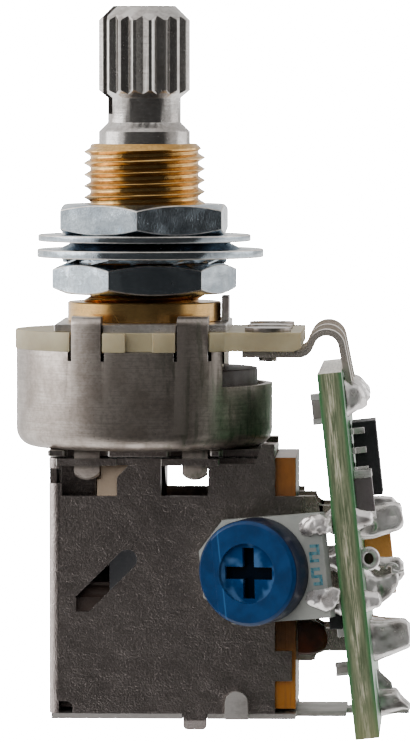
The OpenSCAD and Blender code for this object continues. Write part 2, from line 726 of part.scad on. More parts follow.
// Tabs of the shell: fingers round the terminal board, fold over the adapter, base tab
finger_x = shell_x1 + phenolic_t + 0.35;
z_finger = z_window - 7.7;
fold_x = [shell_x1 - 1.3, shell_x1 - 0.84, shell_x1 - 0.04];
fold_top = z_can_floor + 0.37;
foot_tab = [2.76, 4.3];
module switch_shell() color(dark_steel) {
    slot_r = 0.65;
    slot_top = [-0.88, z_shell_bottom + 10.06];
    slot_corner = [-4.23, z_shell_bottom + 6.65];
    foot_x = shell_x0 + bend_r;
    difference() {
        translate([0, 0, z_shell_bottom]) linear_extrude(shell_h) shell_plan();
        front_and_back() wall_openings();
        // Slanting slot with a round upper end and a square lower corner
        translate([0, -wall_in + 0.5, 0]) rotate([90, 0, 0]) linear_extrude(2) intersection() {
            translate(slot_top) rotate(45) {
                circle(slot_r);
                translate([-8, -slot_r]) square([8, 2 * slot_r]);
            }
            translate(slot_corner) square(8);
        }
        front_and_back() {
            block([shell_x0 - 1, -shell_half - 1, z_shell_top - 1.65],
                [shell_x0 + 0.85, -shell_half + 1.1, z_shell_top - 0.65]);
            block([foot_x, -shell_half - 1, z_shell_bottom - 1],
                [foot_x + 0.9, -wall_in + 0.6, z_shell_bottom + 0.4]);
            block([foot_x, -shell_half - 1, z_shell_bottom],
                [foot_x + 0.5, -wall_in + 0.6, z_shell_bottom + 0.8]);
            translate([foot_x + 0.5, -wall_in + 0.6, z_shell_bottom + 0.4]) rotate([90, 0, 0])
                cylinder(r = 0.4, h = 3);
        }
    }
    front_and_back() {
        // Fingers that hold the terminal board's edges
        block([shell_x1 - eps, -shell_half, z_finger], [finger_x, -wall_in, z_window]);
        block([shell_x1 + phenolic_t + seat, -wall_in - eps, z_finger],
            [finger_x, -wall_in + 0.9, z_finger + 1]);
        block([shell_x1 - eps, -shell_half, z_shell_bottom + 2.15],
            [shell_x1 + 1.1, -wall_in, z_shell_bottom + 4.1]);
        // Tab that folds over the adapter plate, with a slanting left edge
        translate([0, -wall_in - seat, 0]) rotate([90, 0, 0])
            linear_extrude(sheet_t - seat) polygon([[fold_x[0], z_shell_top - 0.4],
            [fold_x[2], z_shell_top - 0.4], [fold_x[2], fold_top], [fold_x[1], fold_top]]);
        block([fold_x[1], -shell_half, z_can_floor + seat], [fold_x[2], -wall_in + 1.1, fold_top]);
        // Tab through the base plate
        round_tab([foot_tab[0], z_base_plate - 0.7], [foot_tab[1], z_shell_bottom + 0.1], 0.3,
            -wall_in, sheet_t);
    }
}

// Half width of the tongue that holds the board's lower end
tongue_half = 1.2;
module switch_base_plate() color(dark_steel) {
    tongue_end = board_face_x(z_base_plate, board_t) + 1.9;
    plate_end = board_face_x(z_base_plate, 0) - 0.6;
    stake = [5.5, 7.0];
    stake_r = (stake[1] - stake[0]) / 2;
    difference() {
        union() {
            block([shell_x0 + 0.15, -shell_half, z_base_plate], [shell_x1 + phenolic_t, shell_half,
                z_shell_bottom]);
            block([shell_x1, -3.4, z_base_plate], [plate_end, 3.4, z_shell_bottom]);
            block([shell_x1, -tongue_half, z_base_plate], [tongue_end, tongue_half,
                z_shell_bottom]);
        }
        front_and_back() block([foot_tab[0] - 0.06, -shell_half - 1, z_base_plate - 1],
            [foot_tab[1] + 0.06, -wall_in + 0.05, z_shell_bottom + 1]);
    }
    // Round-topped stakes bent up outside the shell
    front_and_back() {
        block([stake[0], -shell_half - 0.42, z_base_plate],
            [stake[1], -shell_half - seat, z_base_plate + 1.1]);
        block([stake[0], -shell_half - 0.42, z_base_plate],
            [stake[1], -shell_half + 0.1, z_shell_bottom]);
        translate([stake[0] + stake_r, -shell_half - seat, z_base_plate + 1.1])
            rotate([90, 0, 0]) cylinder(r = stake_r, h = 0.4);
    }
}

// Moulded guide beside the rod, under the cover
module guide_block() color(cream_plastic) {
    top = z_shell_top - cover_t - 2 * seat;
    low = top - 2.6;
    x = [-2.9, 1.2];
    rod_side = rod_r + 0.1;
    block([x[0], -rod_side - 0.65, low], [-rod_side, rod_side + 0.65, top]);
    front_and_back() difference() {
        block([x[0], -wall_in + 0.65, low], [x[1], -rod_side, top]);
        // Room for the can's left hanger
        block([x[0] - 1, -wall_in, z_shell_top - 1.4],
            [-hanger_x + hanger_w / 2 + 0.05, -3.6, 0]);
    }
}

// Leaf spring behind the front wall, with a rib that clicks on the slider
module detent_spring() color(nickel) {
    leaf_y = -wall_in + seat;
    x = [-2.05, 5.6];
    half_h = 3.6;
    block([x[0], leaf_y, z_rib - half_h], [x[1], leaf_y + 0.2, z_rib + half_h]);
    intersection() {
        translate([x[0], leaf_y + 0.05, z_rib]) rotate([0, 90, 0])
            cylinder(r = rib_r, h = x[1] - x[0]);
        block([x[0] - 1, leaf_y, z_rib - 1], [x[1] + 1, leaf_y + 1, z_rib + 1]);
    }
}

// Slider, with pockets for the rod's end, its clip and the moving contacts
slider_y = wall_in - 0.55;
slider_x = [shell_x0 + sheet_t + 0.25, shell_x1 - 1.15];
clip_half = 1.85;
module slider() color(dark_plastic) difference() {
    block([slider_x[0], -slider_y, z_slider], [slider_x[1], slider_y, z_slider_top]);
    pocket = clip_half + 0.05;
    rod(rod_r + 0.06, z_groove - rod_tail - 0.1, z_slider_top + 1);
    block([-pocket, -pocket, z_groove + 0.03], [slider_x[1] + 1, pocket,
        z_groove + groove_h - 0.03]);
    for (dz = [0, -travel]) translate([slider_x[0] - 1, -slider_y - 0.15, z_rib + dz])
        rotate([0, 90, 0]) cylinder(r = rib_r, h = slider_x[1] - slider_x[0] + 2);
    block([slider_x[0] - 1, -slider_y - 1, z_slider_top - 1], [slider_x[0] + 1.1, slider_y + 1,
        z_slider_top + 1]);
}

module retaining_clip() color(nickel) difference() {
    z = [z_groove + 0.06, z_groove + groove_h - 0.06];
    block([-clip_half, -clip_half, z[0]], [slider_x[1] - 0.6, clip_half, z[1]]);
    rod(groove_r + 0.05, z[0] - 1, z[1] + 1);
    block([0, -groove_r - 0.02, z[0] - 1], [9, groove_r + 0.02, z[1] + 1]);
}

// Spring contact that bridges two neighbouring lugs
pad_t = 0.3;
pad_half = [0.85, 1.0];
module moving_contact(side) color(brass) {
    mid_z = (lug_rows[1] + lug_rows[2]) / 2;
    reach = shell_x1 - pad_t - 0.03;
    half = row_pitch / 2 + 0.6;
    w = 0.8;
    t = 0.2;
    translate([0, side * column_pitch / 2, mid_z]) {
        block([slider_x[1] + seat, -w, -1], [slider_x[1] + t, w, 1]);
        block([slider_x[1] + t - eps, -w, -0.25], [reach - t, w, 0.25]);
        block([reach - t - eps, -w, -half], [reach, w, half]);
    }
}

module moving_contact_1() moving_contact(-1);
module moving_contact_2() moving_contact(1);

module terminal_board() color(phenolic) difference() {
    block([shell_x1, -wall_in + seat, z_phenolic],
        [shell_x1 + phenolic_t, wall_in - seat, z_phenolic_top]);
    for (side = [-1, 1], z = lug_rows) translate([shell_x1 - 1, side * column_pitch / 2, z])
        translate([0, -lug_t / 2 - seat, -lug_h / 2 - seat])
        cube([phenolic_t + 2, lug_t + 2 * seat, lug_h + 2 * seat]);
    translate([shell_x1 - 1, peg_y, peg_z]) rotate([0, 90, 0]) cylinder(r = peg_r + 0.03, h = 4);
}

// One switch lug: contact pad, neck through the phenolic, filleted root and long blade
module switch_lug(row, side) color(nickel) {
    z = lug_rows[row];
    outer = shell_x1 + phenolic_t;
    tip = board_face_x(z, board_t) + lug_tip;
    root_l = 1.2;
    fillet = (lug_root_h - lug_h) / 2;
    translate([0, side * column_pitch / 2, z]) {
        translate([0, lug_t / 2, 0]) rotate([90, 0, 0]) linear_extrude(lug_t) {
            translate([shell_x1 - 0.1, -lug_h / 2]) square([tip - shell_x1 + 0.1, lug_h]);
            translate([outer + seat, -lug_root_h / 2]) square([root_l, lug_root_h]);
            difference() {
                translate([outer + root_l, -lug_root_h / 2]) square([fillet, lug_root_h]);
                for (s = [-1, 1]) translate([outer + root_l + fillet, s * lug_root_h / 2])
                    circle(fillet);
            }
        }
        block([shell_x1 - pad_t, -pad_half[0], -pad_half[1]],
            [shell_x1 - seat, pad_half[0], pad_half[1]]);
    }
}

module switch_lug_1() switch_lug(0, -1);
module switch_lug_2() switch_lug(1, -1);
module switch_lug_3() switch_lug(2, -1);
module switch_lug_4() switch_lug(0, 1);
module switch_lug_5() switch_lug(1, 1);
module switch_lug_6() switch_lug(2, 1);

// Plastic peg that shows beside the lowest lug
module locating_peg() color([0.42, 0.46, 0.38]) translate([shell_x1 - 0.3, peg_y, peg_z])
    rotate([0, 90, 0]) {
        cylinder(r = peg_r, h = phenolic_t + 0.3);
        translate([0, 0, phenolic_t + 0.3]) cylinder(r = peg_r + 0.13, h = 0.9);
    }

// Places of the trimmer's legs in the board: [along, across]
leg_pitch = 5.3;
leg_places = [[trim_s - leg_pitch / 2, leg_y], [trim_s + leg_pitch / 2, leg_y],
    [trim_s, leg_y + 2.4]];
leg_hole_r = 0.5;
leg_r = 0.3;
lug_hole_r = 1.0;

module circuit_board() color([0.22, 0.50, 0.22]) difference() {
    on_board() translate([0, -board_w / 2, -board_len]) cube([board_t, board_w, board_len]);
    on_board() {
        for (side = [-1, 1], z = lug_rows)
            translate([-1, side * column_pitch / 2, -board_s(z, board_t / 2)])
            rotate([0, 90, 0]) cylinder(r = lug_hole_r, h = board_t + 2);
        for (p = leg_places) translate([-1, p[1], -p[0]])
            rotate([0, 90, 0]) cylinder(r = leg_hole_r, h = board_t + 2);
    }
    block([board_x, -tongue_half - 0.1, z_base_plate - 0.15],
        [board_x + 6, tongue_half + 0.1, z_shell_bottom + 0.15]);
}

// The amplifier chip lies on the board's outer face, between the terminals and the lugs
chip_s = 6.2;
chip_foot = 0.15;
module amplifier_chip() color(black_epoxy) on_board()
    translate([board_t + chip_foot, -chip_w / 2, -chip_s - chip_l / 2])
    cube([chip_h - chip_foot, chip_w, chip_l]);

// One gull-wing lead, from the chip's side down to the board
module gull_lead() {
    block([board_t + chip_h / 2 - 0.1, -0.65, -0.2], [board_t + chip_h / 2 + 0.1, -seat, 0.2]);
    block([board_t + seat, -0.65, -0.2], [board_t + chip_h / 2, -0.45, 0.2]);
    block([board_t + seat, -1.1, -0.2], [board_t + 0.2 + seat, -0.46, 0.2]);
}

module chip_leads() color(solder) on_board() front_and_back() for (i = [-1.5 : 1.5])
    translate([0, -chip_w / 2, -chip_s + i * lead_pitch]) gull_lead();

// A chip part lying on a face: body and two metal ends; across is along y
module chip_body(l, w, h, end) translate([0, -w / 2, -l / 2 + end]) cube([h, w, l - 2 * end]);
module chip_ends(l, w, h, end) for (s = [-1, 1])
    translate([0, -w / 2 - 0.02, s * (l / 2 - end / 2) - end / 2]) cube([h + 0.03, w + 0.04, end]);

filter_size = [3.2, 1.6, 1.15, 0.5];
module place_filter() on_board() translate([board_t + seat, -5.9, -8.25]) children();
module filter_capacitor() color([0.30, 0.26, 0.28]) place_filter()
    chip_body(filter_size[0], filter_size[1], filter_size[2], filter_size[3]);
module filter_capacitor_ends() color(solder) place_filter()
    chip_ends(filter_size[0], filter_size[1], filter_size[2], filter_size[3]);

tantalum_size = [5.0, 2.8, 1.75, 0.3];
module place_tantalum() on_board() translate([board_t + seat, 6.0, -13.5]) children();
module tantalum_capacitor() color([0.75, 0.45, 0.12]) place_tantalum()
    chip_body(tantalum_size[0], tantalum_size[1], tantalum_size[2], tantalum_size[3]);
module tantalum_ends() color(solder) place_tantalum() for (s = [-1, 1])
    translate([0, -1.1, s * (tantalum_size[0] / 2 - 0.15) - 0.15]) cube([1.1, 2.2, 0.3]);

// Chip parts on the inner face: [along, across, length, width, height, end]
inner_chips = [[2.4, -6.5, 2.0, 1.25, 0.6, 0.4], [12.25, -4.6, 1.6, 0.8, 0.8, 0.3],
    [19.3, -7.2, 0.8, 1.6, 0.8, 0.2]];
module place_inner(p) on_board() translate([-seat, p[1], -p[0]]) mirror([1, 0, 0]) children();
module small_chip_bodies() color([0.42, 0.40, 0.38]) for (p = inner_chips)
    place_inner(p) chip_body(p[2], p[3], p[4], p[5]);
module small_chip_ends() color(solder) for (p = inner_chips)
    place_inner(p) chip_ends(p[2], p[3], p[4], p[5]);

transistor_s = 16.0;
transistor_y = -6.2;
module transistor() color(black_epoxy) on_board()
    translate([-0.95, transistor_y - 1.45, -transistor_s - 0.65]) cube([0.85, 2.9, 1.3]);
module transistor_leads() color(solder) on_board() for (p = [[-0.95, -1], [0.95, -1], [0, 1]])
    translate([-0.5, transistor_y + p[0] - 0.2, -transistor_s + p[1] * 0.95 - 0.28])
    cube([0.5 - seat, 0.4, 0.56]);

// Outline of the trimmer's base, with its left end cut to a half octagon
module trimmer_outline() {
    half = trim_base_h / 2;
    left = -trim_r - 0.75;
    cut = 1.9;
    polygon([[left, -half + cut], [left + cut, -half], [left + trim_base_l, -half],
        [left + trim_base_l, half], [left + cut, half], [left, half - cut]]);
}

trim_pivot_r = 0.9;
pivot_h = 0.7;
z_trim_base = trim_t + 0.1;
module trimmer_base() color([0.86, 0.85, 0.80]) in_trimmer() {
    translate([0, z_trim_base + trim_base_t, 0]) rotate([90, 0, 0])
        linear_extrude(trim_base_t) trimmer_outline();
    translate([0, z_trim_base + eps, 0]) rotate([90, 0, 0])
        cylinder(r = trim_pivot_r, h = pivot_h + 0.1);
}

module trimmer_disc() color([0.05, 0.25, 0.55]) in_trimmer() rotate([-90, 0, 0]) difference() {
    edge = 0.25;
    cross_depth = 1.1;
    union() {
        translate([0, 0, edge]) cylinder(r = trim_r, h = trim_t - edge);
        cylinder(r1 = trim_r - edge, r2 = trim_r, h = edge);
    }
    translate([0, 0, -1]) cylinder(r = trim_recess_r, h = 1.35);
    for (a = [0, 90]) rotate(a + cross_turn)
        cube([cross_len, cross_w, 2 * cross_depth], center = true);
    // Flat ledge beside the recess
    translate([-trim_r - 1, -trim_r - 1, -1]) cube([trim_r - 1.25, 2 * trim_r + 2, 1.12]);
    translate([0, 0, trim_t - pivot_h - 0.05]) cylinder(r = trim_pivot_r + 0.05, h = 2);
}

// Metal leg from the trimmer's base into the board
module trimmer_legs() color(solder) {
    back = z_trim_base + trim_base_t + seat;
    on_board() for (p = leg_places) translate([-1, p[1], -p[0]])
        rotate([0, 90, 0]) cylinder(r = leg_r, h = board_t + 1.75);
    in_trimmer() for (s = [-1, 1]) block([2.4, back, s * leg_pitch / 2 - 0.7],
        [4.15, back + 0.25, s * leg_pitch / 2 + 0.7]);
}

// Fillet of solder between a terminal's leg and the board
joint_s = 1.5;
module terminal_solder() color(solder) on_board() for (i = [-1 : 1])
    translate([board_t + seat, i * term_pitch, -joint_s]) difference() {
        rotate([0, 90, 0]) cylinder(r1 = 1.3, r2 = 0.75, h = 0.8);
        // Room for the leaning leg
        translate([0, 0, joint_s]) rotate([0, -leg_splay, 0])
            translate([-0.01, -term_w / 2 - 0.01, -6]) cube([term_t + 0.02, term_w + 0.02, 8]);
    }

// A joint round each lug on the outer face
module lug_solder() color(solder) difference() {
    on_board() for (side = [-1, 1], z = lug_rows)
        translate([board_t + seat, side * column_pitch / 2, -board_s(z, board_t)])
        rotate([0, 90, 0]) cylinder(r1 = joint_r, r2 = 0.85, h = joint_h);
    for (side = [-1, 1], z = lug_rows)
        translate([board_x, side * column_pitch / 2 - lug_t / 2 - 0.01, z - lug_h / 2 - 0.01])
        cube([12, lug_t + 0.02, lug_h + 0.02]);
}

module trimmer_solder() color(solder) difference() {
    on_board() for (p = leg_places) translate([-0.7, p[1], -p[0]])
        rotate([0, 90, 0]) cylinder(r1 = 0.42, r2 = 0.85, h = 0.7 - seat);
    on_board() for (p = leg_places) translate([-2, p[1], -p[0]])
        rotate([0, 90, 0]) cylinder(r = leg_r + 0.01, h = 6);
}

module ground_solder() color(solder) difference() {
    on_board() translate([board_t + seat, -1.6, -board_s(z_base_plate, board_t) - 0.55])
        cube([1.4, 3.2, 1.5]);
    block([board_x, -tongue_half - 0.01, z_base_plate - 0.01],
        [board_x + 12, tongue_half + 0.01, z_shell_bottom + 0.01]);
}

shaft();
bushing();
upper_nut();
flat_washer();
dished_washer();
lock_washer();
lower_nut();
front_plate();
wafer();
resistance_track();
pot_terminal_1();
pot_terminal_2();
pot_terminal_3();
terminal_rivets();
can();
wiper_carrier();
wiper();
adapter_plate();
switch_top_plate();
switch_shell();
switch_base_plate();
guide_block();
detent_spring();
slider();
retaining_clip();
moving_contact_1();
moving_contact_2();
terminal_board();
switch_lug_1();
switch_lug_2();
switch_lug_3();
switch_lug_4();
switch_lug_5();
switch_lug_6();
locating_peg();
circuit_board();
amplifier_chip();
chip_leads();
filter_capacitor();
filter_capacitor_ends();
tantalum_capacitor();
tantalum_ends();
small_chip_bodies();
small_chip_ends();
transistor();
transistor_leads();
trimmer_base();
trimmer_disc();
trimmer_legs();
terminal_solder();
lug_solder();
trimmer_solder();
ground_solder();
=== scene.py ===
"""Looks for the push-pull potentiometer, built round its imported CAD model.

The scene is in metres. Lengths of forms and textures are written in millimetres and scaled by MM.
"""
import json
import math

import bmesh
import bpy
from mathutils import Matrix, Vector, noise


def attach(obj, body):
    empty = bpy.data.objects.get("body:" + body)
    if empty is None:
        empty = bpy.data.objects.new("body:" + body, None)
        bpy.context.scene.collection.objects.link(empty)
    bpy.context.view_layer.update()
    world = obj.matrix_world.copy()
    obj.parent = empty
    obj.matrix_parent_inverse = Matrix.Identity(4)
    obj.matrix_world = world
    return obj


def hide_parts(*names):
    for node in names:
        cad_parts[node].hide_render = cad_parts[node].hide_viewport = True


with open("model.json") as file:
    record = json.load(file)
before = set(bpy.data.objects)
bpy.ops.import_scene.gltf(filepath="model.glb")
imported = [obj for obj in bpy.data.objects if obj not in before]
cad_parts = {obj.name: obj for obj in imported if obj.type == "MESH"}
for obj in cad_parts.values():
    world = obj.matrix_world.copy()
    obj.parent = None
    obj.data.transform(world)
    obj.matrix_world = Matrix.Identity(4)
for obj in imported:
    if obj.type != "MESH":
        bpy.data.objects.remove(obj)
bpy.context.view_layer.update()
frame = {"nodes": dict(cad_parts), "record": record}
NODES = frame["nodes"]
MM = 0.001

# Camera: where the photograph was taken from
PICTURE_H = 742
PX_PER_MM = 15.2
CAMERA_DISTANCE = 450 * MM
CAMERA_TARGET = Vector((3.98, 0, -4.605)) * MM
CAMERA_AZIMUTH = math.radians(2.2)
CAMERA_ELEVATION = math.radians(2.7)
SENSOR = 36.0

# Circuit board, as in the CAD model: its top inner edge, its lean and its thickness in
# millimetres. In its own frame x runs through it from the inner face and z runs up along it.
BOARD_EDGE = Vector((11.55, 0, -4.33)) * MM
BOARD_TILT = math.radians(6.05)
BOARD_T = 1.58
BOARD = Matrix.Translation(BOARD_EDGE) @ Matrix.Rotation(-BOARD_TILT, 4, "Y")

# Across the board, in millimetres: the two columns of switch lugs, and the pot's terminals
FRONT_LUGS_Y = -2.5
BACK_LUGS_Y = 2.5
TERMINALS_Y = (-5.0, 0.0, 5.0)

# Trimmer: the place of its disc's front centre on the board, and its turn. In its own frame y
# runs back from the disc's face.
TRIMMER_PLACE = Vector((-5.82, -10.8, -12.27)) * MM
TRIMMER_TURN = math.radians(-22)
TRIMMER = BOARD @ Matrix.Translation(TRIMMER_PLACE) @ Matrix.Rotation(TRIMMER_TURN, 4, "Z")

# Bushing, in millimetres, as in the CAD model: its thread, bore and ends. THREAD_START is a
# height at which the thread's root faces +X.
THREAD_R = 4.0
THREAD_ROOT_R = 3.56
THREAD_PITCH = 0.75
THREAD_START = 9.06
BUSHING_TOP = 10.35
BUSHING_FOOT = -2.2
BORE_R = 3.04

# One turn of the thread from root to root: share of the pitch, share of the thread's depth
THREAD_PROFILE = ((0.0, 0.0), (0.13, 0.06), (0.27, 0.42), (0.42, 0.88), (0.5, 1.0),
                  (0.58, 0.88), (0.73, 0.42), (0.87, 0.06), (1.0, 0.0))

# The rest of the bushing's outline, as radius and height: down the bore, out round its foot and
# the groove over it, and up round the flange to the foot of the thread
BUSHING_OUTLINE = ((BORE_R + 0.12, BUSHING_TOP), (BORE_R, BUSHING_TOP - 0.12),
                   (BORE_R, BUSHING_FOOT), (4.6, BUSHING_FOOT), (4.6, -1.8), (4.2, -1.8),
                   (4.2, -1.3), (4.98, -1.3), (5.05, -1.23), (5.05, -0.08), (4.97, 0.0),
                   (THREAD_R, 0.0))

# How brightly the floor and the surroundings show to the camera itself
SEEN_WHITE = 40.0


def make_camera():
    """A long lens at the photograph's distance, so that the part fills the picture as there."""
    data = bpy.data.cameras.new("camera")
    data.sensor_width = SENSOR
    data.lens = SENSOR * CAMERA_DISTANCE / (PICTURE_H / PX_PER_MM * MM)
    data.clip_start = 0.01
    data.clip_end = 20
    camera = bpy.data.objects.new("camera", data)
    bpy.context.scene.collection.objects.link(camera)
    flat = math.cos(CAMERA_ELEVATION)
    away = Vector((math.sin(CAMERA_AZIMUTH) * flat, -math.cos(CAMERA_AZIMUTH) * flat,
                   math.sin(CAMERA_ELEVATION)))
    camera.location = CAMERA_TARGET + away * CAMERA_DISTANCE
    camera.rotation_euler = away.to_track_quat("Z", "Y").to_euler()
    bpy.context.scene.camera = camera


class Surface:
    """A material being built: short ways to add nodes and to join them."""

    def __init__(self, name, color, roughness, metallic=0.0):
        self.material = bpy.data.materials.new(name)
        self.material.use_nodes = True
        self.tree = self.material.node_tree
        self.shader = self.tree.nodes["Principled BSDF"]
        self.set(base_color=color, roughness=roughness, metallic=metallic)
        coords = self.tree.nodes.new("ShaderNodeTexCoord")
        place = self.tree.nodes.new("ShaderNodeMapping")
        place.inputs["Scale"].default_value = (1 / MM,) * 3
        self.tree.links.new(coords.outputs["Object"], place.inputs["Vector"])
        self.mm = place.outputs["Vector"]

    def put(self, socket, value):
        """Joins a node's output to a socket, or sets the socket to a plain value."""
        if isinstance(value, bpy.types.NodeSocket):
            self.tree.links.new(value, socket)
        elif isinstance(value, (tuple, list)) and len(value) == 3 and socket.type == "RGBA":
            socket.default_value = (*value, 1)
        else:
            socket.default_value = value

    def set(self, **inputs):
        """Sets the shader's inputs, named as on the node but with underscores."""
        for name, value in inputs.items():
            title = " ".join("IOR" if w == "ior" else w.capitalize() for w in name.split("_"))
            self.put(self.shader.inputs[title], value)

    def node(self, kind, out=0, props=(), **inputs):
        """Adds a node. Inputs go by title, or by number as i0, i1 and so on."""
        made = self.tree.nodes.new("ShaderNode" + kind)
        for key, value in dict(props).items():
            setattr(made, key, value)
        for name, value in inputs.items():
            key = int(name[1:]) if name[0] == "i" and name[1:].isdigit() else name.capitalize()
            self.put(made.inputs[key], value)
        return made.outputs[out]

    def noise(self, stretch, detail=4.0, rough=0.55, turn=None, at=None):
        """Soft noise of the position in millimetres, turned and then scaled along each axis."""
        at = at or self.mm
        if turn:
            at = self.node("Mapping", vector=at, rotation=turn)
        return self.node("TexNoise", vector=self.node("Mapping", vector=at, scale=stretch),
                         scale=1.0, detail=detail, roughness=rough)

    def math(self, operation, a, b=0.0, c=0.0):
        return self.node("Math", props={"operation": operation}, i0=a, i1=b, i2=c)

    def times(self, a, b):
        return self.math("MULTIPLY", a, b)

    def abs(self, value):
        return self.math("ABSOLUTE", value)

    def fade(self, value, low, high, to_low=0.0, to_high=1.0):
        """value, eased from low..high to to_low..to_high."""
        return self.node("MapRange", props={"interpolation_type": "SMOOTHSTEP"}, i0=value, i1=low,
                         i2=high, i3=to_low, i4=to_high)

    def mix(self, factor, a, b):
        """The colour a where factor is 0 and b where it is 1."""
        made = self.tree.nodes.new("ShaderNodeMix")
        made.data_type = "RGBA"
        self.put(made.inputs["Factor"], factor)
        self.put(made.inputs[6], a)
        self.put(made.inputs[7], b)
        return made.outputs[2]

    def split(self, vector=None):
        """A vector's x, y and z, or those of the position in millimetres."""
        made = self.tree.nodes.new("ShaderNodeSeparateXYZ")
        self.put(made.inputs[0], vector or self.mm)
        return made.outputs[0], made.outputs[1], made.outputs[2]

    def bump(self, height, depth_mm, under=None):
        """Raises the surface by height, over the bump that lies under it."""
        made = self.tree.nodes.new("ShaderNodeBump")
        made.inputs["Distance"].default_value = depth_mm * MM
        self.put(made.inputs["Height"], height)
        if under is not None:
            self.put(made.inputs["Normal"], under)
        self.set(normal=made.outputs[0])
        return made.outputs[0]

    def scatter(self, weight, radii_mm):
        """Lets light into the surface, as far as radii_mm for red, green and blue."""
        self.set(subsurface_weight=weight, subsurface_radius=tuple(r * MM for r in radii_mm),
                 subsurface_scale=1.0)


def shade(color, factor):
    """The colour made darker or brighter, and never brighter than white."""
    return tuple(min(1.0, factor * c) for c in color)


# What any metal here may carry: greenish stain streaks, which on the +x side facing the board
# also serve as a painted reflection of the green board, and dark specks
STAIN_AND_GREEN_REFLECTION = (0.11, 0.115, 0.085)
SPECK = (0.05, 0.045, 0.04)

# How far the clouds, scratches and drawn lines change a metal's roughness
CLOUD_WEAR = 0.22
SCRATCH_WEAR = 0.12
LINE_WEAR = 0.14


def metal(name, color, tint, roughness, grain=(0.25, 0.25, 12.0), depth=0.004, spots=0.35,
          stain_and_green_reflection=0.0, pits=0.0, metallic=1.0, waves=0.0, dull_below=None):
    """Metal with drawn lines, soft clouds, fine scratches, dark specks, and convex edges made
    lighter as a painted highlight.

    grain says how fine the drawn lines are along each axis. depth, pits and waves are heights
    in millimetres: of the lines, of a fine rough skin and of slow unevenness. spots and
    stain_and_green_reflection say how strongly these show; the latter is greenish streaks that
    are partly a painted reflection of the green board on the +x side. Below the height
    dull_below it is only half metallic.
    """
    s = Surface(name, color, roughness, metallic)
    lines = s.noise(grain, 3.0)
    cloud = s.noise((0.5, 0.5, 0.5), 5.0)
    mottle = s.noise((4.0, 4.0, 5.0), 3.0, rough=0.6)
    base = s.mix(s.fade(cloud, 0.35, 0.7), color, tint)
    base = s.mix(s.fade(lines, 0.42, 0.68, 0.0, 0.6), base, tint)
    base = s.mix(s.fade(mottle, 0.42, 0.62, 0.0, 0.3), base, shade(tint, 0.55))
    # Greenish stain streaks, kept to the +x side facing the board: partly real stains, partly a
    # painted reflection of the green board
    if stain_and_green_reflection:
        runs = s.noise((1.6, 1.6, 0.22), 4.0, rough=0.6)
        x, _, _ = s.split()
        where = s.times(s.fade(runs, 0.50, 0.62), s.fade(x, -1.0, 3.0))
        base = s.mix(s.times(where, stain_and_green_reflection), base, STAIN_AND_GREEN_REFLECTION)
    cells = s.node("TexVoronoi", vector=s.mm, scale=1.5)
    base = s.mix(s.fade(cells, 0.10, 0.05, 0.0, spots), base, SPECK)
    # Convex edges made lighter: a painted edge highlight
    pointed = s.node("NewGeometry", out="Pointiness")
    s.set(base_color=s.mix(s.fade(pointed, 0.52, 0.60, 0.0, 0.6), base, shade(color, 1.25)))

    scratch = s.fade(s.noise((5.0, 5.0, 0.25), 2.0, turn=(0.3, 0.5, 0.2)), 0.70, 0.75)
    wear = s.math("MULTIPLY_ADD", cloud, CLOUD_WEAR, roughness - CLOUD_WEAR / 2)
    wear = s.math("MULTIPLY_ADD", scratch, SCRATCH_WEAR, wear)
    wear = s.math("SUBTRACT", wear, LINE_WEAR / 2)
    s.set(roughness=s.math("MULTIPLY_ADD", lines, LINE_WEAR, wear))

    under = s.bump(s.math("ADD", lines, s.times(scratch, -0.6)), depth)
    if pits:
        under = s.bump(s.noise((9.0, 9.0, 9.0), 2.0), pits, under)
    if waves:
        s.bump(s.noise((0.45, 0.45, 0.7), 1.0), waves, under)
    if dull_below is not None:
        _, _, z = s.split()
        s.set(metallic=s.fade(z, dull_below, dull_below - 0.15, metallic, 0.5))
    return s.material


def solder():
    """Bright lumpy solder with soft dark areas that are painted dark reflections."""
    s = Surface("solder", (0.72, 0.71, 0.69), 0.16, 0.62)
    lumps = s.noise((1.1, 1.1, 1.1), 3.0)
    # Soft dark patches: painted dark reflections on the solder's facets
    dark_reflection = s.noise((0.9, 0.9, 1.3), 1.5)
    base = s.mix(s.fade(lumps, 0.4, 0.7), (0.80, 0.77, 0.76), (0.56, 0.52, 0.50))
    base = s.mix(s.fade(dark_reflection, 0.46, 0.74, 0.0, 0.75), base, (0.13, 0.11, 0.10))
    s.set(base_color=base, roughness=s.fade(lumps, 0.3, 0.7, 0.14, 0.30))
    s.bump(s.noise((1.0, 1.0, 1.0), 1.0), 0.10)
    return s.material


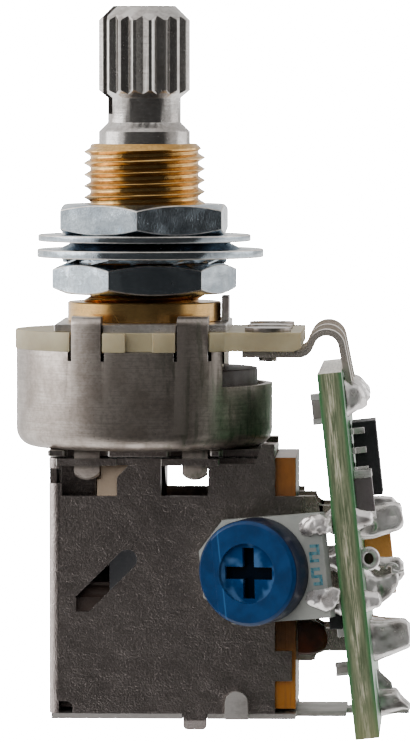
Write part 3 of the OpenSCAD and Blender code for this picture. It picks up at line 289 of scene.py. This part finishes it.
def trimmer_blue():
    """Glossy blue, with painted shade in the cross slot and on the rim, and a painted highlight
    in its round recess.
    """
    s = Surface("trimmer_blue", (0.0, 0.035, 0.16), 0.22)
    back = TRIMMER.inverted()
    x, depth, z = s.split(s.node("Mapping", vector=s.mm, rotation=back.to_euler(),
                                 location=back.translation / MM))
    from_pin = s.math("SQRT", s.math("ADD", s.times(x, x), s.times(z, z)))
    # Outside the face's edge, the disc's side wall is coloured darker: painted shade
    rim = s.fade(from_pin, 3.36, 3.43)
    recess = s.fade(from_pin, 2.0, 1.9)
    # The cross slot, coloured near black: painted shade in the recess
    slot = s.times(s.fade(depth, 0.45, 0.75), s.fade(depth, 1.25, 1.15))
    # A lighter straight line down the face at x = -1.75: a painted highlight along a flat's edge
    groove = s.fade(s.abs(s.math("ADD", x, 1.75)), 0.06, 0.02, 0.0, 0.5)

    cloud = s.noise((0.8, 0.8, 0.8), 4.0)
    color = s.mix(s.fade(cloud, 0.35, 0.7), (0.001, 0.029, 0.102), (0.0, 0.019, 0.068))
    color = s.mix(slot, color, (0.0, 0.003, 0.008))
    # Lighter patches in the round recess: a painted highlight
    shine = s.times(s.fade(s.noise((1.0, 1.0, 1.0), 1.5), 0.46, 0.66), recess)
    color = s.mix(s.times(shine, s.fade(slot, 0, 1, 0.6, 0.0)), color, (0.06, 0.14, 0.28))
    color = s.mix(s.times(groove, s.fade(recess, 1, 0)), color, (0.03, 0.13, 0.30))
    s.set(base_color=s.mix(rim, color, (0.0, 0.004, 0.02)), specular_ior_level=0.22,
          roughness=s.fade(recess, 0, 1, 0.34, 0.14))
    s.bump(s.noise((3, 3, 3), 3.0), 0.012)
    return s.material


def plastic(name, color, tint, roughness=0.45, grain=6.0, scatter=0.0):
    """Moulded plastic or ceramic, a little cloudy, with a fine grain."""
    s = Surface(name, color, roughness)
    cloud = s.noise((0.4, 0.4, 0.4), 5.0)
    fine = s.noise((grain, grain, grain), 3.0)
    s.set(base_color=s.mix(s.fade(cloud, 0.35, 0.7), color, tint))
    s.set(roughness=s.math("MULTIPLY_ADD", fine, 0.2, roughness - 0.1))
    s.bump(fine, 0.01)
    if scatter:
        s.scatter(scatter, (1.0, 0.7, 0.4))
    return s.material


def board_laminate():
    """Green mask on both faces, long sawn edges with a pale fibre core, pale sawn ends."""
    s = Surface("board_laminate", (0.03, 0.2, 0.05), 0.45)
    moved = s.node("Mapping", vector=s.mm, location=(-BOARD_EDGE.x / MM, 0, -BOARD_EDGE.z / MM))
    on_board = s.node("Mapping", vector=moved, rotation=(0, BOARD_TILT, 0))
    through, _, _ = s.split(on_board)
    _, side, up = s.split(s.node("NewGeometry", out="Normal"))
    on_edge = s.abs(side)
    off_middle = s.math("SUBTRACT", through, BOARD_T / 2)

    wander = s.math("MULTIPLY_ADD", s.noise((0.2, 0.2, 0.3), 3.0), -0.9, 0.45)
    vein = s.abs(s.math("ADD", wander, off_middle))
    strands = s.noise((9.0, 1.0, 0.4), 5.0, rough=0.7, at=on_board)
    patches = s.noise((0.5, 0.5, 0.35), 4.0)
    core = s.times(s.fade(vein, 0.42, 0.05), s.fade(strands, 0.44, 0.62))
    core = s.times(core, s.fade(patches, 0.38, 0.60, 0.35, 1.0))
    green = s.mix(s.fade(strands, 0.35, 0.65), (0.062, 0.088, 0.040), (0.17, 0.19, 0.105))
    green = s.mix(s.fade(s.abs(off_middle), 0.45, 0.72), green, (0.04, 0.13, 0.045))
    _, _, height = s.split()
    green = s.mix(s.fade(height, -24.0, -30.0, 0.0, 0.7), green, (0.24, 0.24, 0.11))
    edge = s.mix(core, green, (0.62, 0.57, 0.42))

    mask = s.mix(s.fade(s.noise((0.3, 0.3, 0.3)), 0.4, 0.7), (0.022, 0.125, 0.04),
                 (0.04, 0.18, 0.06))
    layers = s.noise((7.0, 0.3, 0.3), 3.0, rough=0.5, at=on_board)
    sawn_end = s.mix(s.fade(layers, 0.42, 0.6), (0.62, 0.58, 0.50), (0.42, 0.38, 0.32))
    color = s.mix(s.fade(on_edge, 0.6, 0.8), mask, edge)
    color = s.mix(s.fade(s.abs(up), 0.6, 0.8), color, sawn_end)
    s.set(base_color=color, roughness=s.fade(on_edge, 0.6, 0.8, 0.3, 0.65))
    s.bump(strands, 0.03)
    return s.material


def phenolic():
    """Laminated orange brown, darkest in its lower middle and brightest at its foot."""
    s = Surface("phenolic", (0.50, 0.19, 0.02), 0.35)
    _, _, z = s.split()
    cloud = s.noise((0.5, 0.5, 0.35), 5.0)
    base = s.mix(s.fade(cloud, 0.35, 0.65), (0.215, 0.078, 0.012), (0.12, 0.04, 0.007))
    shaded = s.mix(s.fade(cloud, 0.4, 0.6), (0.12, 0.045, 0.012), (0.06, 0.024, 0.007))
    base = s.mix(s.fade(z, -11.0, -13.5), base, shaded)
    base = s.mix(s.fade(z, -21.5, -24.5), base, (0.32, 0.115, 0.012))
    layers = s.noise((9.0, 0.4, 0.4), 2.0)
    s.set(base_color=s.mix(s.fade(layers, 0.5, 0.65, 0.0, 0.35), base, (0.10, 0.04, 0.01)))
    s.bump(layers, 0.02)
    s.scatter(0.25, (1.0, 0.5, 0.2))
    return s.material


# A material for each slot of the record
MATERIALS = {
    "shaft_metal": metal("shaft_metal", (0.54, 0.52, 0.50), (0.38, 0.35, 0.33), 0.20,
                         grain=(0.25, 0.25, 10.0), depth=0.006, spots=0.2, metallic=0.96),
    "brass": metal("brass", (0.64, 0.40, 0.15), (0.44, 0.24, 0.07), 0.20,
                   grain=(0.25, 0.25, 6.0), spots=0.3, metallic=0.97),
    "zinc": metal("zinc", (0.46, 0.52, 0.57), (0.30, 0.35, 0.40), 0.18,
                  grain=(0.6, 0.6, 1.2), pits=0.012, metallic=0.98, waves=0.15),
    # The can's greenish streaks on its board side are partly a painted reflection of the board
    "nickel": metal("nickel", (0.42, 0.37, 0.335), (0.25, 0.212, 0.185), 0.34,
                    stain_and_green_reflection=0.55, pits=0.006, metallic=0.9, dull_below=-9.65),
    "shell_steel": metal("shell_steel", (0.40, 0.35, 0.335), (0.22, 0.187, 0.178), 0.36,
                         grain=(0.5, 0.5, 9.0), depth=0.012, spots=0.8, pits=0.055,
                         waves=0.15, dull_below=-27.08),
    "lug_metal": metal("lug_metal", (0.62, 0.57, 0.52), (0.42, 0.35, 0.28), 0.28,
                       grain=(3.0, 3.0, 0.4), depth=0.006, metallic=0.85),
    "spring_metal": metal("spring_metal", (0.60, 0.50, 0.32), (0.45, 0.36, 0.2), 0.3),
    "solder": solder(),
    "wafer": plastic("wafer", (0.335, 0.285, 0.175), (0.26, 0.215, 0.13), 0.5, scatter=0.3),
    "carbon": plastic("carbon", (0.02, 0.02, 0.02), (0.03, 0.03, 0.03)),
    "dark_plastic": plastic("dark_plastic", (0.028, 0.019, 0.015), (0.05, 0.034, 0.028)),
    "cream_plastic": plastic("cream_plastic", (0.46, 0.35, 0.25), (0.36, 0.27, 0.19)),
    "phenolic": phenolic(),
    "board": board_laminate(),
    "chip_black": plastic("chip_black", (0.012, 0.012, 0.014), (0.022, 0.022, 0.024), 0.5,
                          grain=9.0),
    "ceramic_dark": plastic("ceramic_dark", (0.085, 0.068, 0.072), (0.12, 0.10, 0.105), 0.4),
    "tantalum": plastic("tantalum", (0.56, 0.25, 0.045), (0.44, 0.18, 0.03)),
    "chip_grey": plastic("chip_grey", (0.16, 0.14, 0.13), (0.22, 0.20, 0.19), 0.4),
    # The trimmer's base is given a darker grey than its own white: painted shade, as the disc
    # shadows it
    "trimmer_white": plastic("trimmer_white", (0.27, 0.275, 0.255), (0.20, 0.21, 0.20), 0.5),
    "trimmer_blue": trimmer_blue(),
    "peg_plastic": plastic("peg_plastic", (0.22, 0.26, 0.20), (0.16, 0.20, 0.14), 0.5),
}

# Nodes whose finish differs a little from the rest of their slot
OWN_FINISH = {
    "switch_base_plate": metal("base_steel", (0.55, 0.52, 0.50), (0.40, 0.37, 0.35), 0.55,
                               grain=(0.5, 0.5, 7.0), depth=0.01, spots=0.5, metallic=0.78),
    "front_plate": metal("plate_nickel", (0.58, 0.55, 0.52), (0.40, 0.36, 0.33), 0.30,
                         grain=(0.3, 0.3, 6.0), metallic=0.8),
    "detent_spring": metal("leaf_steel", (0.36, 0.37, 0.40), (0.30, 0.31, 0.34), 0.40,
                           grain=(0.4, 0.4, 2.0)),
}

# The slots of plated sheet and turned zinc, and the brighter metal put on their bevels as a
# painted edge highlight
BRIGHT_EDGED = ("shell_steel", "nickel", "zinc")
EDGE_HIGHLIGHT = metal("edge_highlight", (0.74, 0.71, 0.68), (0.50, 0.47, 0.44), 0.42,
                 grain=(1.0, 1.0, 1.0), depth=0.01, spots=0.0)

# Widths of the softly broken edges in millimetres: most nodes, bright edges, and some nodes'
EDGE_WIDTH = 0.05
BRIGHT_EDGE_WIDTH = 0.08
OWN_EDGE_WIDTH = {"upper_nut": 0.26, "lower_nut": 0.26,
                  "adapter_plate": 0.14, "switch_top_plate": 0.14}
EDGE_ANGLE = math.radians(35)
WELD_GAP = 0.002 * MM


def dress_frame():
    """Gives every CAD node its material and softly broken edges."""
    for part in frame["record"]["subparts"]:
        name, slot = part["node"], part["material_slot"]
        piece = NODES[name]
        piece.data.materials.clear()
        piece.data.materials.append(OWN_FINISH.get(name, MATERIALS[slot]))
        bright = slot in BRIGHT_EDGED
        weld = piece.modifiers.new("weld", "WELD")
        weld.merge_threshold = WELD_GAP
        bevel = piece.modifiers.new("bevel", "BEVEL")
        width = BRIGHT_EDGE_WIDTH if bright else EDGE_WIDTH
        bevel.width = OWN_EDGE_WIDTH.get(name, width) * MM
        bevel.segments = 3 if bright else 2
        bevel.limit_method = "ANGLE"
        bevel.angle_limit = EDGE_ANGLE
        bevel.harden_normals = True
        # The bevels of these slots get the brighter metal: a painted edge highlight
        if bright:
            piece.data.materials.append(EDGE_HIGHLIGHT)
            bevel.material = 1


def ring(radius, z, count):
    """Points of a level circle, in millimetres."""
    return [Vector((radius * math.cos(t), radius * math.sin(t), z))
            for t in (math.tau * i / count for i in range(count))]


def skin(mesh, rings, shift=0, caps=True):
    """Faces between rings of points. Each ring ends shift rings further on than it starts."""
    count = len(rings[0])
    rows = [[mesh.verts.new(p * MM) for p in points] for points in rings]
    for k in range(len(rows) - 1):
        for i in range(count):
            if i < count - 1:
                right, upper = rows[k][i + 1], rows[k + 1][i + 1]
            elif k + 1 + shift < len(rows):
                right, upper = rows[k + shift][0], rows[k + 1 + shift][0]
            else:
                continue
            mesh.faces.new((rows[k][i], right, upper, rows[k + 1][i]))
    if caps:
        mesh.faces.new(list(reversed(rows[0])))
        mesh.faces.new(rows[-1])
    return rows


# Points nearer than the first become one, and faces thinner than the second go
MERGE_GAP = 0.0005 * MM
SLIVER = 0.0002 * MM


def add_piece(name, mesh, slot, body, replaced=(), place=None, sharp=60, own=None):
    """Turns a bmesh into a piece that rides on a body.

    place is the frame its points are in, sharp the angle from which its edges stay crisp, and
    own a material of its own.
    """
    bmesh.ops.remove_doubles(mesh, verts=mesh.verts, dist=MERGE_GAP)
    bmesh.ops.dissolve_degenerate(mesh, edges=mesh.edges, dist=SLIVER)
    bmesh.ops.recalc_face_normals(mesh, faces=mesh.faces)
    if place is not None:
        mesh.transform(place)
    data = bpy.data.meshes.new(name)
    mesh.to_mesh(data)
    mesh.free()
    data.materials.append(own or MATERIALS[slot])
    data.shade_smooth()
    data.set_sharp_from_angle(angle=math.radians(sharp))
    piece = bpy.data.objects.new(name, data)
    bpy.context.scene.collection.objects.link(piece)
    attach(piece, body)
    if replaced:
        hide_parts(*replaced)


def thread_height(phase):
    """How far the thread stands out: 0 at its root, 1 at its crest."""
    phase %= 1.0
    for (start, low), (end, high) in zip(THREAD_PROFILE, THREAD_PROFILE[1:]):
        if phase <= end:
            return low + (high - low) * ((phase - start) / (end - start))


def thread_rings(count, per_turn):
    """Rings that climb one pitch as they go round, cut off level at the bushing's two ends."""
    depth = THREAD_R - THREAD_ROOT_R
    top_chamfer = 0.55
    nick_depth = 0.05
    # From a root below the flange's top to past the bushing's end
    first = THREAD_START - THREAD_PITCH * (int(THREAD_START / THREAD_PITCH) + 2)
    turns = int(BUSHING_TOP / THREAD_PITCH) + 4
    rings = []
    for k in range(turns * per_turn + 1):
        level = first + THREAD_PITCH * (k // per_turn + THREAD_PROFILE[k % per_turn][0])
        points = []
        for i in range(count):
            turn = math.tau * i / count
            c, d = math.cos(turn), math.sin(turn)
            z = min(max(level + THREAD_PITCH * i / count, 0.0), BUSHING_TOP)
            height = thread_height((z - first) / THREAD_PITCH - i / count)
            nick = nick_depth * noise.noise(Vector((6 * c, 6 * d, 2.2 * z)))
            r = THREAD_ROOT_R + depth * height - max(nick, 0) * height
            r = min(r, THREAD_R - top_chamfer + (BUSHING_TOP - z))
            points.append(Vector((r * c, r * d, z)))
        rings.append(points)
    return rings


def threaded_bushing():
    """The brass bushing with its real helical thread."""
    count = 144
    per_turn = len(THREAD_PROFILE) - 1
    mesh = bmesh.new()
    skin(mesh, thread_rings(count, per_turn), shift=per_turn, caps=False)
    bmesh.ops.remove_doubles(mesh, verts=mesh.verts, dist=MERGE_GAP)
    skin(mesh, [ring(r, z, count) for r, z in BUSHING_OUTLINE], caps=False)
    loops = [e for e in mesh.edges if e.is_boundary]
    middle = BUSHING_TOP / 2 * MM
    bmesh.ops.bridge_loops(mesh, edges=[e for e in loops if e.verts[0].co.z > middle])
    bmesh.ops.bridge_loops(mesh, edges=[e for e in loops if e.verts[0].co.z <= middle])
    add_piece("threaded_bushing", mesh, "brass", "housing", ["bushing"], sharp=30)


def blob(mesh, sections, seed, lumps=0.08, dents=(), count=32, steps=5):
    """A lump of solder through sections of (x, y, -z, half_y, half_z, squareness).

    lumps is the height of its unevenness and seed picks which. Each dent is a centre, a radius
    and a depth. A squareness of 2 is round.
    """
    smoothings = 3
    coarse, fine, fine_share = 1.1, 2.9, 0.35
    rings = []
    for k, (start, end) in enumerate(zip(sections, sections[1:])):
        last = k == len(sections) - 2
        for j in range(steps + 1 if last else steps):
            x, y, down, half_y, half_z, square = (p + (q - p) * (j / steps)
                                                  for p, q in zip(start, end))
            points = []
            for i in range(count):
                turn = math.tau * i / count
                c, d = math.cos(turn), math.sin(turn)
                c = math.copysign(abs(c) ** (2 / square), c)
                d = math.copysign(abs(d) ** (2 / square), d)
                points.append(Vector((x, y + half_y * c, -down - half_z * d)))
            rings.append(points)
    verts = [v for row in skin(mesh, rings) for v in row]
    for _ in range(smoothings):
        bmesh.ops.smooth_vert(mesh, verts=verts, factor=0.5, use_axis_x=True, use_axis_y=True,
                              use_axis_z=True)
    middle = sum((v.co for v in verts), Vector()) / len(verts)
    for v in verts:
        out = (v.co - middle).normalized()
        at = v.co / MM
        push = lumps * noise.noise(at * coarse + Vector((seed * 7.3, 0, 0)))
        push += fine_share * lumps * noise.noise(at * fine + Vector((0, seed * 5.1, 0)))
        for centre, radius, depth in dents:
            gap = (at - Vector(centre)).length / radius
            if gap < 1:
                push -= depth * (1 - gap * gap) ** 2
        v.co += out * push * MM


def lug_joints():
    """The solder round the six lug ends, outside the board."""
    mesh = bmesh.new()
    y = FRONT_LUGS_Y
    blob(mesh, [(1.56, y, 9.98, 1.12, 1.45, 2.2), (1.8, y, 10.15, 1.0, 1.3, 2.3),
                (2.4, y, 10.3, 0.8, 1.14, 2.6), (3.3, y, 10.22, 0.72, 1.05, 3.0),
                (4.1, y, 10.12, 0.66, 0.98, 3.2), (4.38, y, 10.08, 0.5, 0.8, 2.6),
                (4.45, y, 10.08, 0.2, 0.4, 2.0)], 1,
         dents=[((2.2, -3.3, -10.65), 0.5, 0.45), ((3.7, -3.3, -10.05), 0.75, 0.3)])
    blob(mesh, [(1.56, y, 14.1, 1.12, 1.4, 2.2), (1.8, y, 14.4, 1.0, 1.25, 2.2),
                (2.4, y, 14.85, 0.7, 0.95, 2.4), (3.1, y, 14.55, 0.6, 0.8, 2.4),
                (3.6, y, 14.2, 0.4, 0.5, 2.2), (3.75, y, 14.1, 0.15, 0.2, 2.0)], 2,
         dents=[((2.3, -3.2, -14.8), 0.45, 0.2)])
    blob(mesh, [(1.56, y, 18.05, 1.12, 1.45, 2.3), (1.8, y, 18.1, 1.0, 1.4, 2.4),
                (2.3, y, 18.05, 0.85, 1.25, 2.6), (3.1, y, 17.95, 0.78, 1.15, 3.0),
                (3.6, y, 17.9, 0.7, 1.05, 3.0), (4.05, y, 17.9, 0.6, 0.88, 2.8),
                (4.14, y, 17.9, 0.2, 0.35, 2.0)], 3,
         lumps=0.04, dents=[((3.5, -3.3, -17.6), 0.7, 0.18)])
    y = BACK_LUGS_Y
    for row, down in enumerate((9.9, 13.95, 18.0)):
        blob(mesh, [(1.6, y, down, 1.25, 1.3, 2.2), (2.2, y, down, 0.9, 1.05, 2.3),
                    (3.2, y, down, 0.62, 0.9, 2.6), (3.8, y, down, 0.5, 0.8, 2.8),
                    (4.1, y, down, 0.2, 0.4, 2.0)], 4 + row)
    add_piece("lug_joints", mesh, "solder", "housing", ["lug_solder"], BOARD)


def terminal_joints():
    """The big shiny fillets where the pot's terminals meet the board."""
    mesh = bmesh.new()
    for k, y in enumerate(TERMINALS_Y):
        blob(mesh, [(1.6, y, 1.9, 1.15, 1.35, 2.2), (1.9, y, 1.9, 1.0, 1.15, 2.2),
                    (2.5, y, 1.95, 0.75, 0.9, 2.2), (2.9, y, 2.1, 0.4, 0.5, 2.0),
                    (3.0, y, 2.1, 0.15, 0.2, 2.0)], 20 + k, lumps=0.15)
    add_piece("terminal_joints", mesh, "solder", "housing", ["terminal_solder"], BOARD)


def ground_joint():
    """The boxy joint on the base plate's tongue, with the thin fin above it."""
    mesh = bmesh.new()
    blob(mesh, [(1.6, 0.0, 22.4, 1.5, 0.95, 2.6), (2.2, 0.0, 22.35, 1.5, 0.9, 3.0),
                (2.8, 0.0, 22.35, 1.45, 0.82, 3.0), (3.1, 0.0, 22.6, 1.4, 0.5, 2.6),
                (3.52, 0.0, 22.84, 1.34, 0.26, 2.6), (3.6, 0.0, 22.84, 0.6, 0.12, 2.0)], 31,
         lumps=0.04)
    blob(mesh, [(1.6, -1.2, 20.7, 0.14, 0.8, 2.0), (2.1, -1.2, 21.0, 0.12, 0.5, 2.0),
                (2.6, -1.2, 21.3, 0.08, 0.2, 2.0)], 32, lumps=0.03)
    add_piece("ground_joint", mesh, "solder", "housing", ["ground_solder"], BOARD)


def trimmer_joints():
    """Solder over the trimmer's two end legs, on the front of its base."""
    mesh = bmesh.new()
    for k, down in enumerate((-2.65, 2.1)):
        blob(mesh, [(2.9, 2.26, down, 0.05, 0.2, 2.0), (3.3, 2.16, down, 0.18, 0.5, 2.0),
                    (3.9, 2.05, down, 0.26, 0.68, 2.1), (4.5, 2.02, down, 0.32, 0.74, 2.1),
                    (4.95, 2.2, down, 0.34, 0.62, 2.1), (5.2, 2.5, down, 0.3, 0.5, 2.0),
                    (5.25, 2.6, down, 0.1, 0.2, 2.0)], 40 + k, lumps=0.3)
    add_piece("trimmer_joints", mesh, "solder", "housing", (), TRIMMER)


def pin_joints():
    """Solder where the trimmer's three legs come out of the board."""
    mesh = bmesh.new()
    for k, (y, down) in enumerate(((-9.1, 9.62), (-9.1, 14.92), (-6.7, 12.27))):
        blob(mesh, [(1.56, y, down, 0.75, 0.75, 2.0), (1.9, y, down, 0.58, 0.58, 2.0),
                    (2.5, y, down, 0.46, 0.44, 2.0), (2.62, y, down, 0.12, 0.12, 2.0)], 50 + k,
             lumps=0.2)
    add_piece("pin_joints", mesh, "solder", "housing", (), BOARD)


def bar(mesh, low, high):
    """A small bar between two corners, in millimetres."""
    around = ((low[0], low[1]), (high[0], low[1]), (high[0], high[1]), (low[0], high[1]))
    skin(mesh, [[Vector((x, y, z)) for x, y in around] for z in (low[2], high[2])])


def trimmer_digits():
    """Plain digits printed on the front of the trimmer's base: 2 and 5, as strokes."""
    mesh = bmesh.new()
    width, height, stroke = 0.55, 0.95, 0.2
    left, first_bottom, step = 3.66, 0.35, 1.5
    front, proud, sunk = 2.2, 0.02, 0.01
    # Each stroke from its left or lower end to its other end, in widths and heights
    strokes = {"top": (0, 1, 1, 1), "middle": (0, 0.5, 1, 0.5), "low": (0, 0, 1, 0),
               "upper left": (0, 0.5, 0, 1), "upper right": (1, 0.5, 1, 1),
               "lower left": (0, 0, 0, 0.5), "lower right": (1, 0, 1, 0.5)}
    digits = (("top", "upper right", "middle", "lower left", "low"),
              ("top", "upper left", "middle", "lower right", "low"))
    for k, names in enumerate(digits):
        bottom = first_bottom - step * k
        for name in names:
            x0, z0, x1, z1 = strokes[name]
            widen = stroke / 2 if x0 == x1 else 0
            low = (left + x0 * width - widen, front - proud, bottom + z0 * height - stroke / 2)
            high = (left + x1 * width + widen, front + sunk, bottom + z1 * height + stroke / 2)
            bar(mesh, low, high)
    ink = Surface("digit_ink", (0.01, 0.10, 0.16), 0.5)
    ink.set(base_color=ink.mix(ink.fade(ink.noise((5, 5, 5)), 0.35, 0.6), (0.02, 0.13, 0.19),
                               (0.10, 0.22, 0.25)))
    add_piece("trimmer_digits", mesh, "trimmer_blue", "housing", (), TRIMMER, sharp=40,
              own=ink.material)


def flux():
    """Dark red-brown flux that has run round the lowest front lug's root, off the board."""
    mesh = bmesh.new()
    y = FRONT_LUGS_Y
    blob(mesh, [(10.12, y, 21.85, 0.42, 1.28, 3.0), (10.9, y, 21.9, 0.40, 1.25, 3.4),
                (11.4, y, 21.95, 0.36, 1.1, 3.0), (11.9, y, 22.0, 0.32, 0.85, 2.6),
                (12.2, y, 22.05, 0.2, 0.5, 2.4), (12.25, y, 22.05, 0.1, 0.3, 2.0)], 60,
         lumps=0.05)
    stain = Surface("flux", (0.085, 0.018, 0.006), 0.22)
    cloud = stain.fade(stain.noise((0.6, 0.6, 0.6), 2.0), 0.35, 0.65)
    stain.set(base_color=stain.mix(cloud, (0.085, 0.02, 0.007), (0.035, 0.012, 0.006)))
    add_piece("flux", mesh, "phenolic", "housing", own=stain.material)


def wire(mesh, path, start_r, end_r, sides=16):
    """A wire along a path, in millimetres; a path that ends where it starts makes a ring."""
    path = [Vector(p) for p in path]
    last = len(path) - 1
    closed = (path[0] - path[last]).length < 1e-6
    rings = []
    for i, p in enumerate(path):
        ahead = path[min(i + 1, last)] - path[max(i - 1, 0)]
        if closed and i in (0, last):
            ahead = path[1] - path[last - 1]
        side = Vector((0, 1, 0))
        up = ahead.normalized().cross(side)
        r = start_r + (end_r - start_r) * i / last
        rings.append([p + r * (math.cos(t) * side + math.sin(t) * up)
                      for t in (math.tau * j / sides for j in range(sides))])
    skin(mesh, rings, caps=not closed)


def shares(count):
    """Shares of a path from 0 to 1, in count equal steps."""
    return [i / count for i in range(count + 1)]


def eyelet():
    """The wire eye beside the trimmer's middle leg, its tail, and two wire ends at a lug."""
    mesh = bmesh.new()
    wire(mesh, [(2.05 + 0.5 * math.cos(t), -7.7, -12.32 + 0.56 * math.sin(t))
                for t in (math.tau * i for i in shares(48))], 0.22, 0.22)
    wire(mesh, [(2.2 + 0.45 * i, -7.65 + 0.6 * i, -12.75 - 0.4 * i) for i in shares(12)],
         0.24, 0.14)
    wire(mesh, [(3.35 + 0.4 * math.cos(t), -3.05, -13.45 + 0.3 * math.sin(t))
                for t in (math.pi * (0.05 + 0.95 * i) for i in shares(20))], 0.07, 0.12)
    wire(mesh, [(3.4 + 0.75 * i, -3.0, -13.62 - 0.12 * math.sin(math.pi * i))
                for i in shares(12)], 0.13, 0.05)
    add_piece("eyelet", mesh, "solder", "housing", (), BOARD)


def eye_core():
    """A dark fill in the wire eye: painted shade in its hole."""
    mesh = bmesh.new()
    blob(mesh, [(1.6, -7.6, 12.32, 0.02, 0.1, 2.0), (1.8, -7.66, 12.32, 0.1, 0.34, 2.0),
                (2.05, -7.7, 12.32, 0.12, 0.42, 2.0), (2.3, -7.66, 12.32, 0.1, 0.34, 2.0),
                (2.48, -7.6, 12.32, 0.02, 0.1, 2.0)], 70, lumps=0.02)
    # The eye's hole is filled with near black: painted shade
    hole_shade = Surface("eye_hole_shade", (0.02, 0.012, 0.008), 0.3)
    hole_shade.set(base_color=hole_shade.mix(hole_shade.noise((4, 4, 4)), (0.03, 0.018, 0.01),
                                   (0.01, 0.008, 0.006)))
    add_piece("eye_core", mesh, "phenolic", "housing", (), BOARD, own=hole_shade.material)


def make_floor():
    """A pale floor far below the part, all white where the camera sees it."""
    mesh = bmesh.new()
    for x, y in ((-2, -0.02), (2, -0.02), (2, 4), (-2, 4)):
        mesh.verts.new((x, y, -0.06))
    mesh.faces.new(mesh.verts)
    data = bpy.data.meshes.new("floor")
    mesh.to_mesh(data)
    mesh.free()
    s = Surface("floor", (0.85, 0.85, 0.84), 0.9)
    seen = s.node("LightPath", out="Is Camera Ray")
    s.set(emission_color=(1, 1, 1), emission_strength=s.fade(seen, 0, 1, 0.8, SEEN_WHITE))
    data.materials.append(s.material)
    floor = bpy.data.objects.new("floor", data)
    bpy.context.scene.collection.objects.link(floor)


# Lamps: name, place and width in metres, watts, and whether metals mirror them
LAMPS = (("key", (-0.6, 0.05, 0.25), 0.5, 3.0, True),
         ("fill", (0.5, 0.2, 0.2), 0.4, 1.0, True),
         ("front", (-0.1, -0.55, 0.25), 0.5, 3.2, False))


def make_lamps():
    """Large soft lamps round the part, turned towards it."""
    for name, place, size, power, mirrored in LAMPS:
        lamp = bpy.data.lights.new(name, "AREA")
        lamp.energy = power
        lamp.size = size
        holder = bpy.data.objects.new(name, lamp)
        holder.location = place
        holder.rotation_euler = (Vector(place) - CAMERA_TARGET).to_track_quat("Z", "Y").to_euler()
        holder.visible_glossy = mirrored
        bpy.context.scene.collection.objects.link(holder)


def light_tent():
    """A white tent round the part: bright sides, top and back, dim towards the camera."""
    world = bpy.data.worlds.new("tent")
    bpy.context.scene.world = world
    world.use_nodes = True
    tree = world.node_tree
    tent = tree.nodes["Background"]
    coords = tree.nodes.new("ShaderNodeTexCoord")

    def along(axis, low, high, to_low, to_high):
        """How far the view points along an axis, eased between two values."""
        dot = tree.nodes.new("ShaderNodeVectorMath")
        dot.operation = "DOT_PRODUCT"
        tree.links.new(coords.outputs["Generated"], dot.inputs[0])
        dot.inputs[1].default_value = axis
        ease = tree.nodes.new("ShaderNodeMapRange")
        ease.interpolation_type = "SMOOTHSTEP"
        tree.links.new(dot.outputs["Value"], ease.inputs[0])
        for i, value in enumerate((low, high, to_low, to_high)):
            ease.inputs[i + 1].default_value = value
        return ease.outputs[0]

    front = along((-0.06, 1, 0), -0.60, -0.40, 0.05, 1.0)
    sides = along((1, 0, 0), -0.7, 0.8, 1.55, 0.85)
    strength = tree.nodes.new("ShaderNodeMath")
    strength.operation = "MULTIPLY"
    tree.links.new(front, strength.inputs[0])
    tree.links.new(sides, strength.inputs[1])
    tree.links.new(strength.outputs[0], tent.inputs["Strength"])
    tent.inputs["Color"].default_value = (1, 0.99, 0.97, 1)

    seen = tree.nodes.new("ShaderNodeBackground")
    seen.inputs["Strength"].default_value = SEEN_WHITE
    path = tree.nodes.new("ShaderNodeLightPath")
    choose = tree.nodes.new("ShaderNodeMixShader")
    tree.links.new(path.outputs["Is Camera Ray"], choose.inputs[0])
    tree.links.new(tent.outputs[0], choose.inputs[1])
    tree.links.new(seen.outputs[0], choose.inputs[2])
    tree.links.new(choose.outputs[0], tree.nodes["World Output"].inputs["Surface"])


make_camera()
dress_frame()
threaded_bushing()
lug_joints()
terminal_joints()
ground_joint()
trimmer_joints()
pin_joints()
trimmer_digits()
flux()
eyelet()
eye_core()
make_floor()
make_lamps()
light_tent()
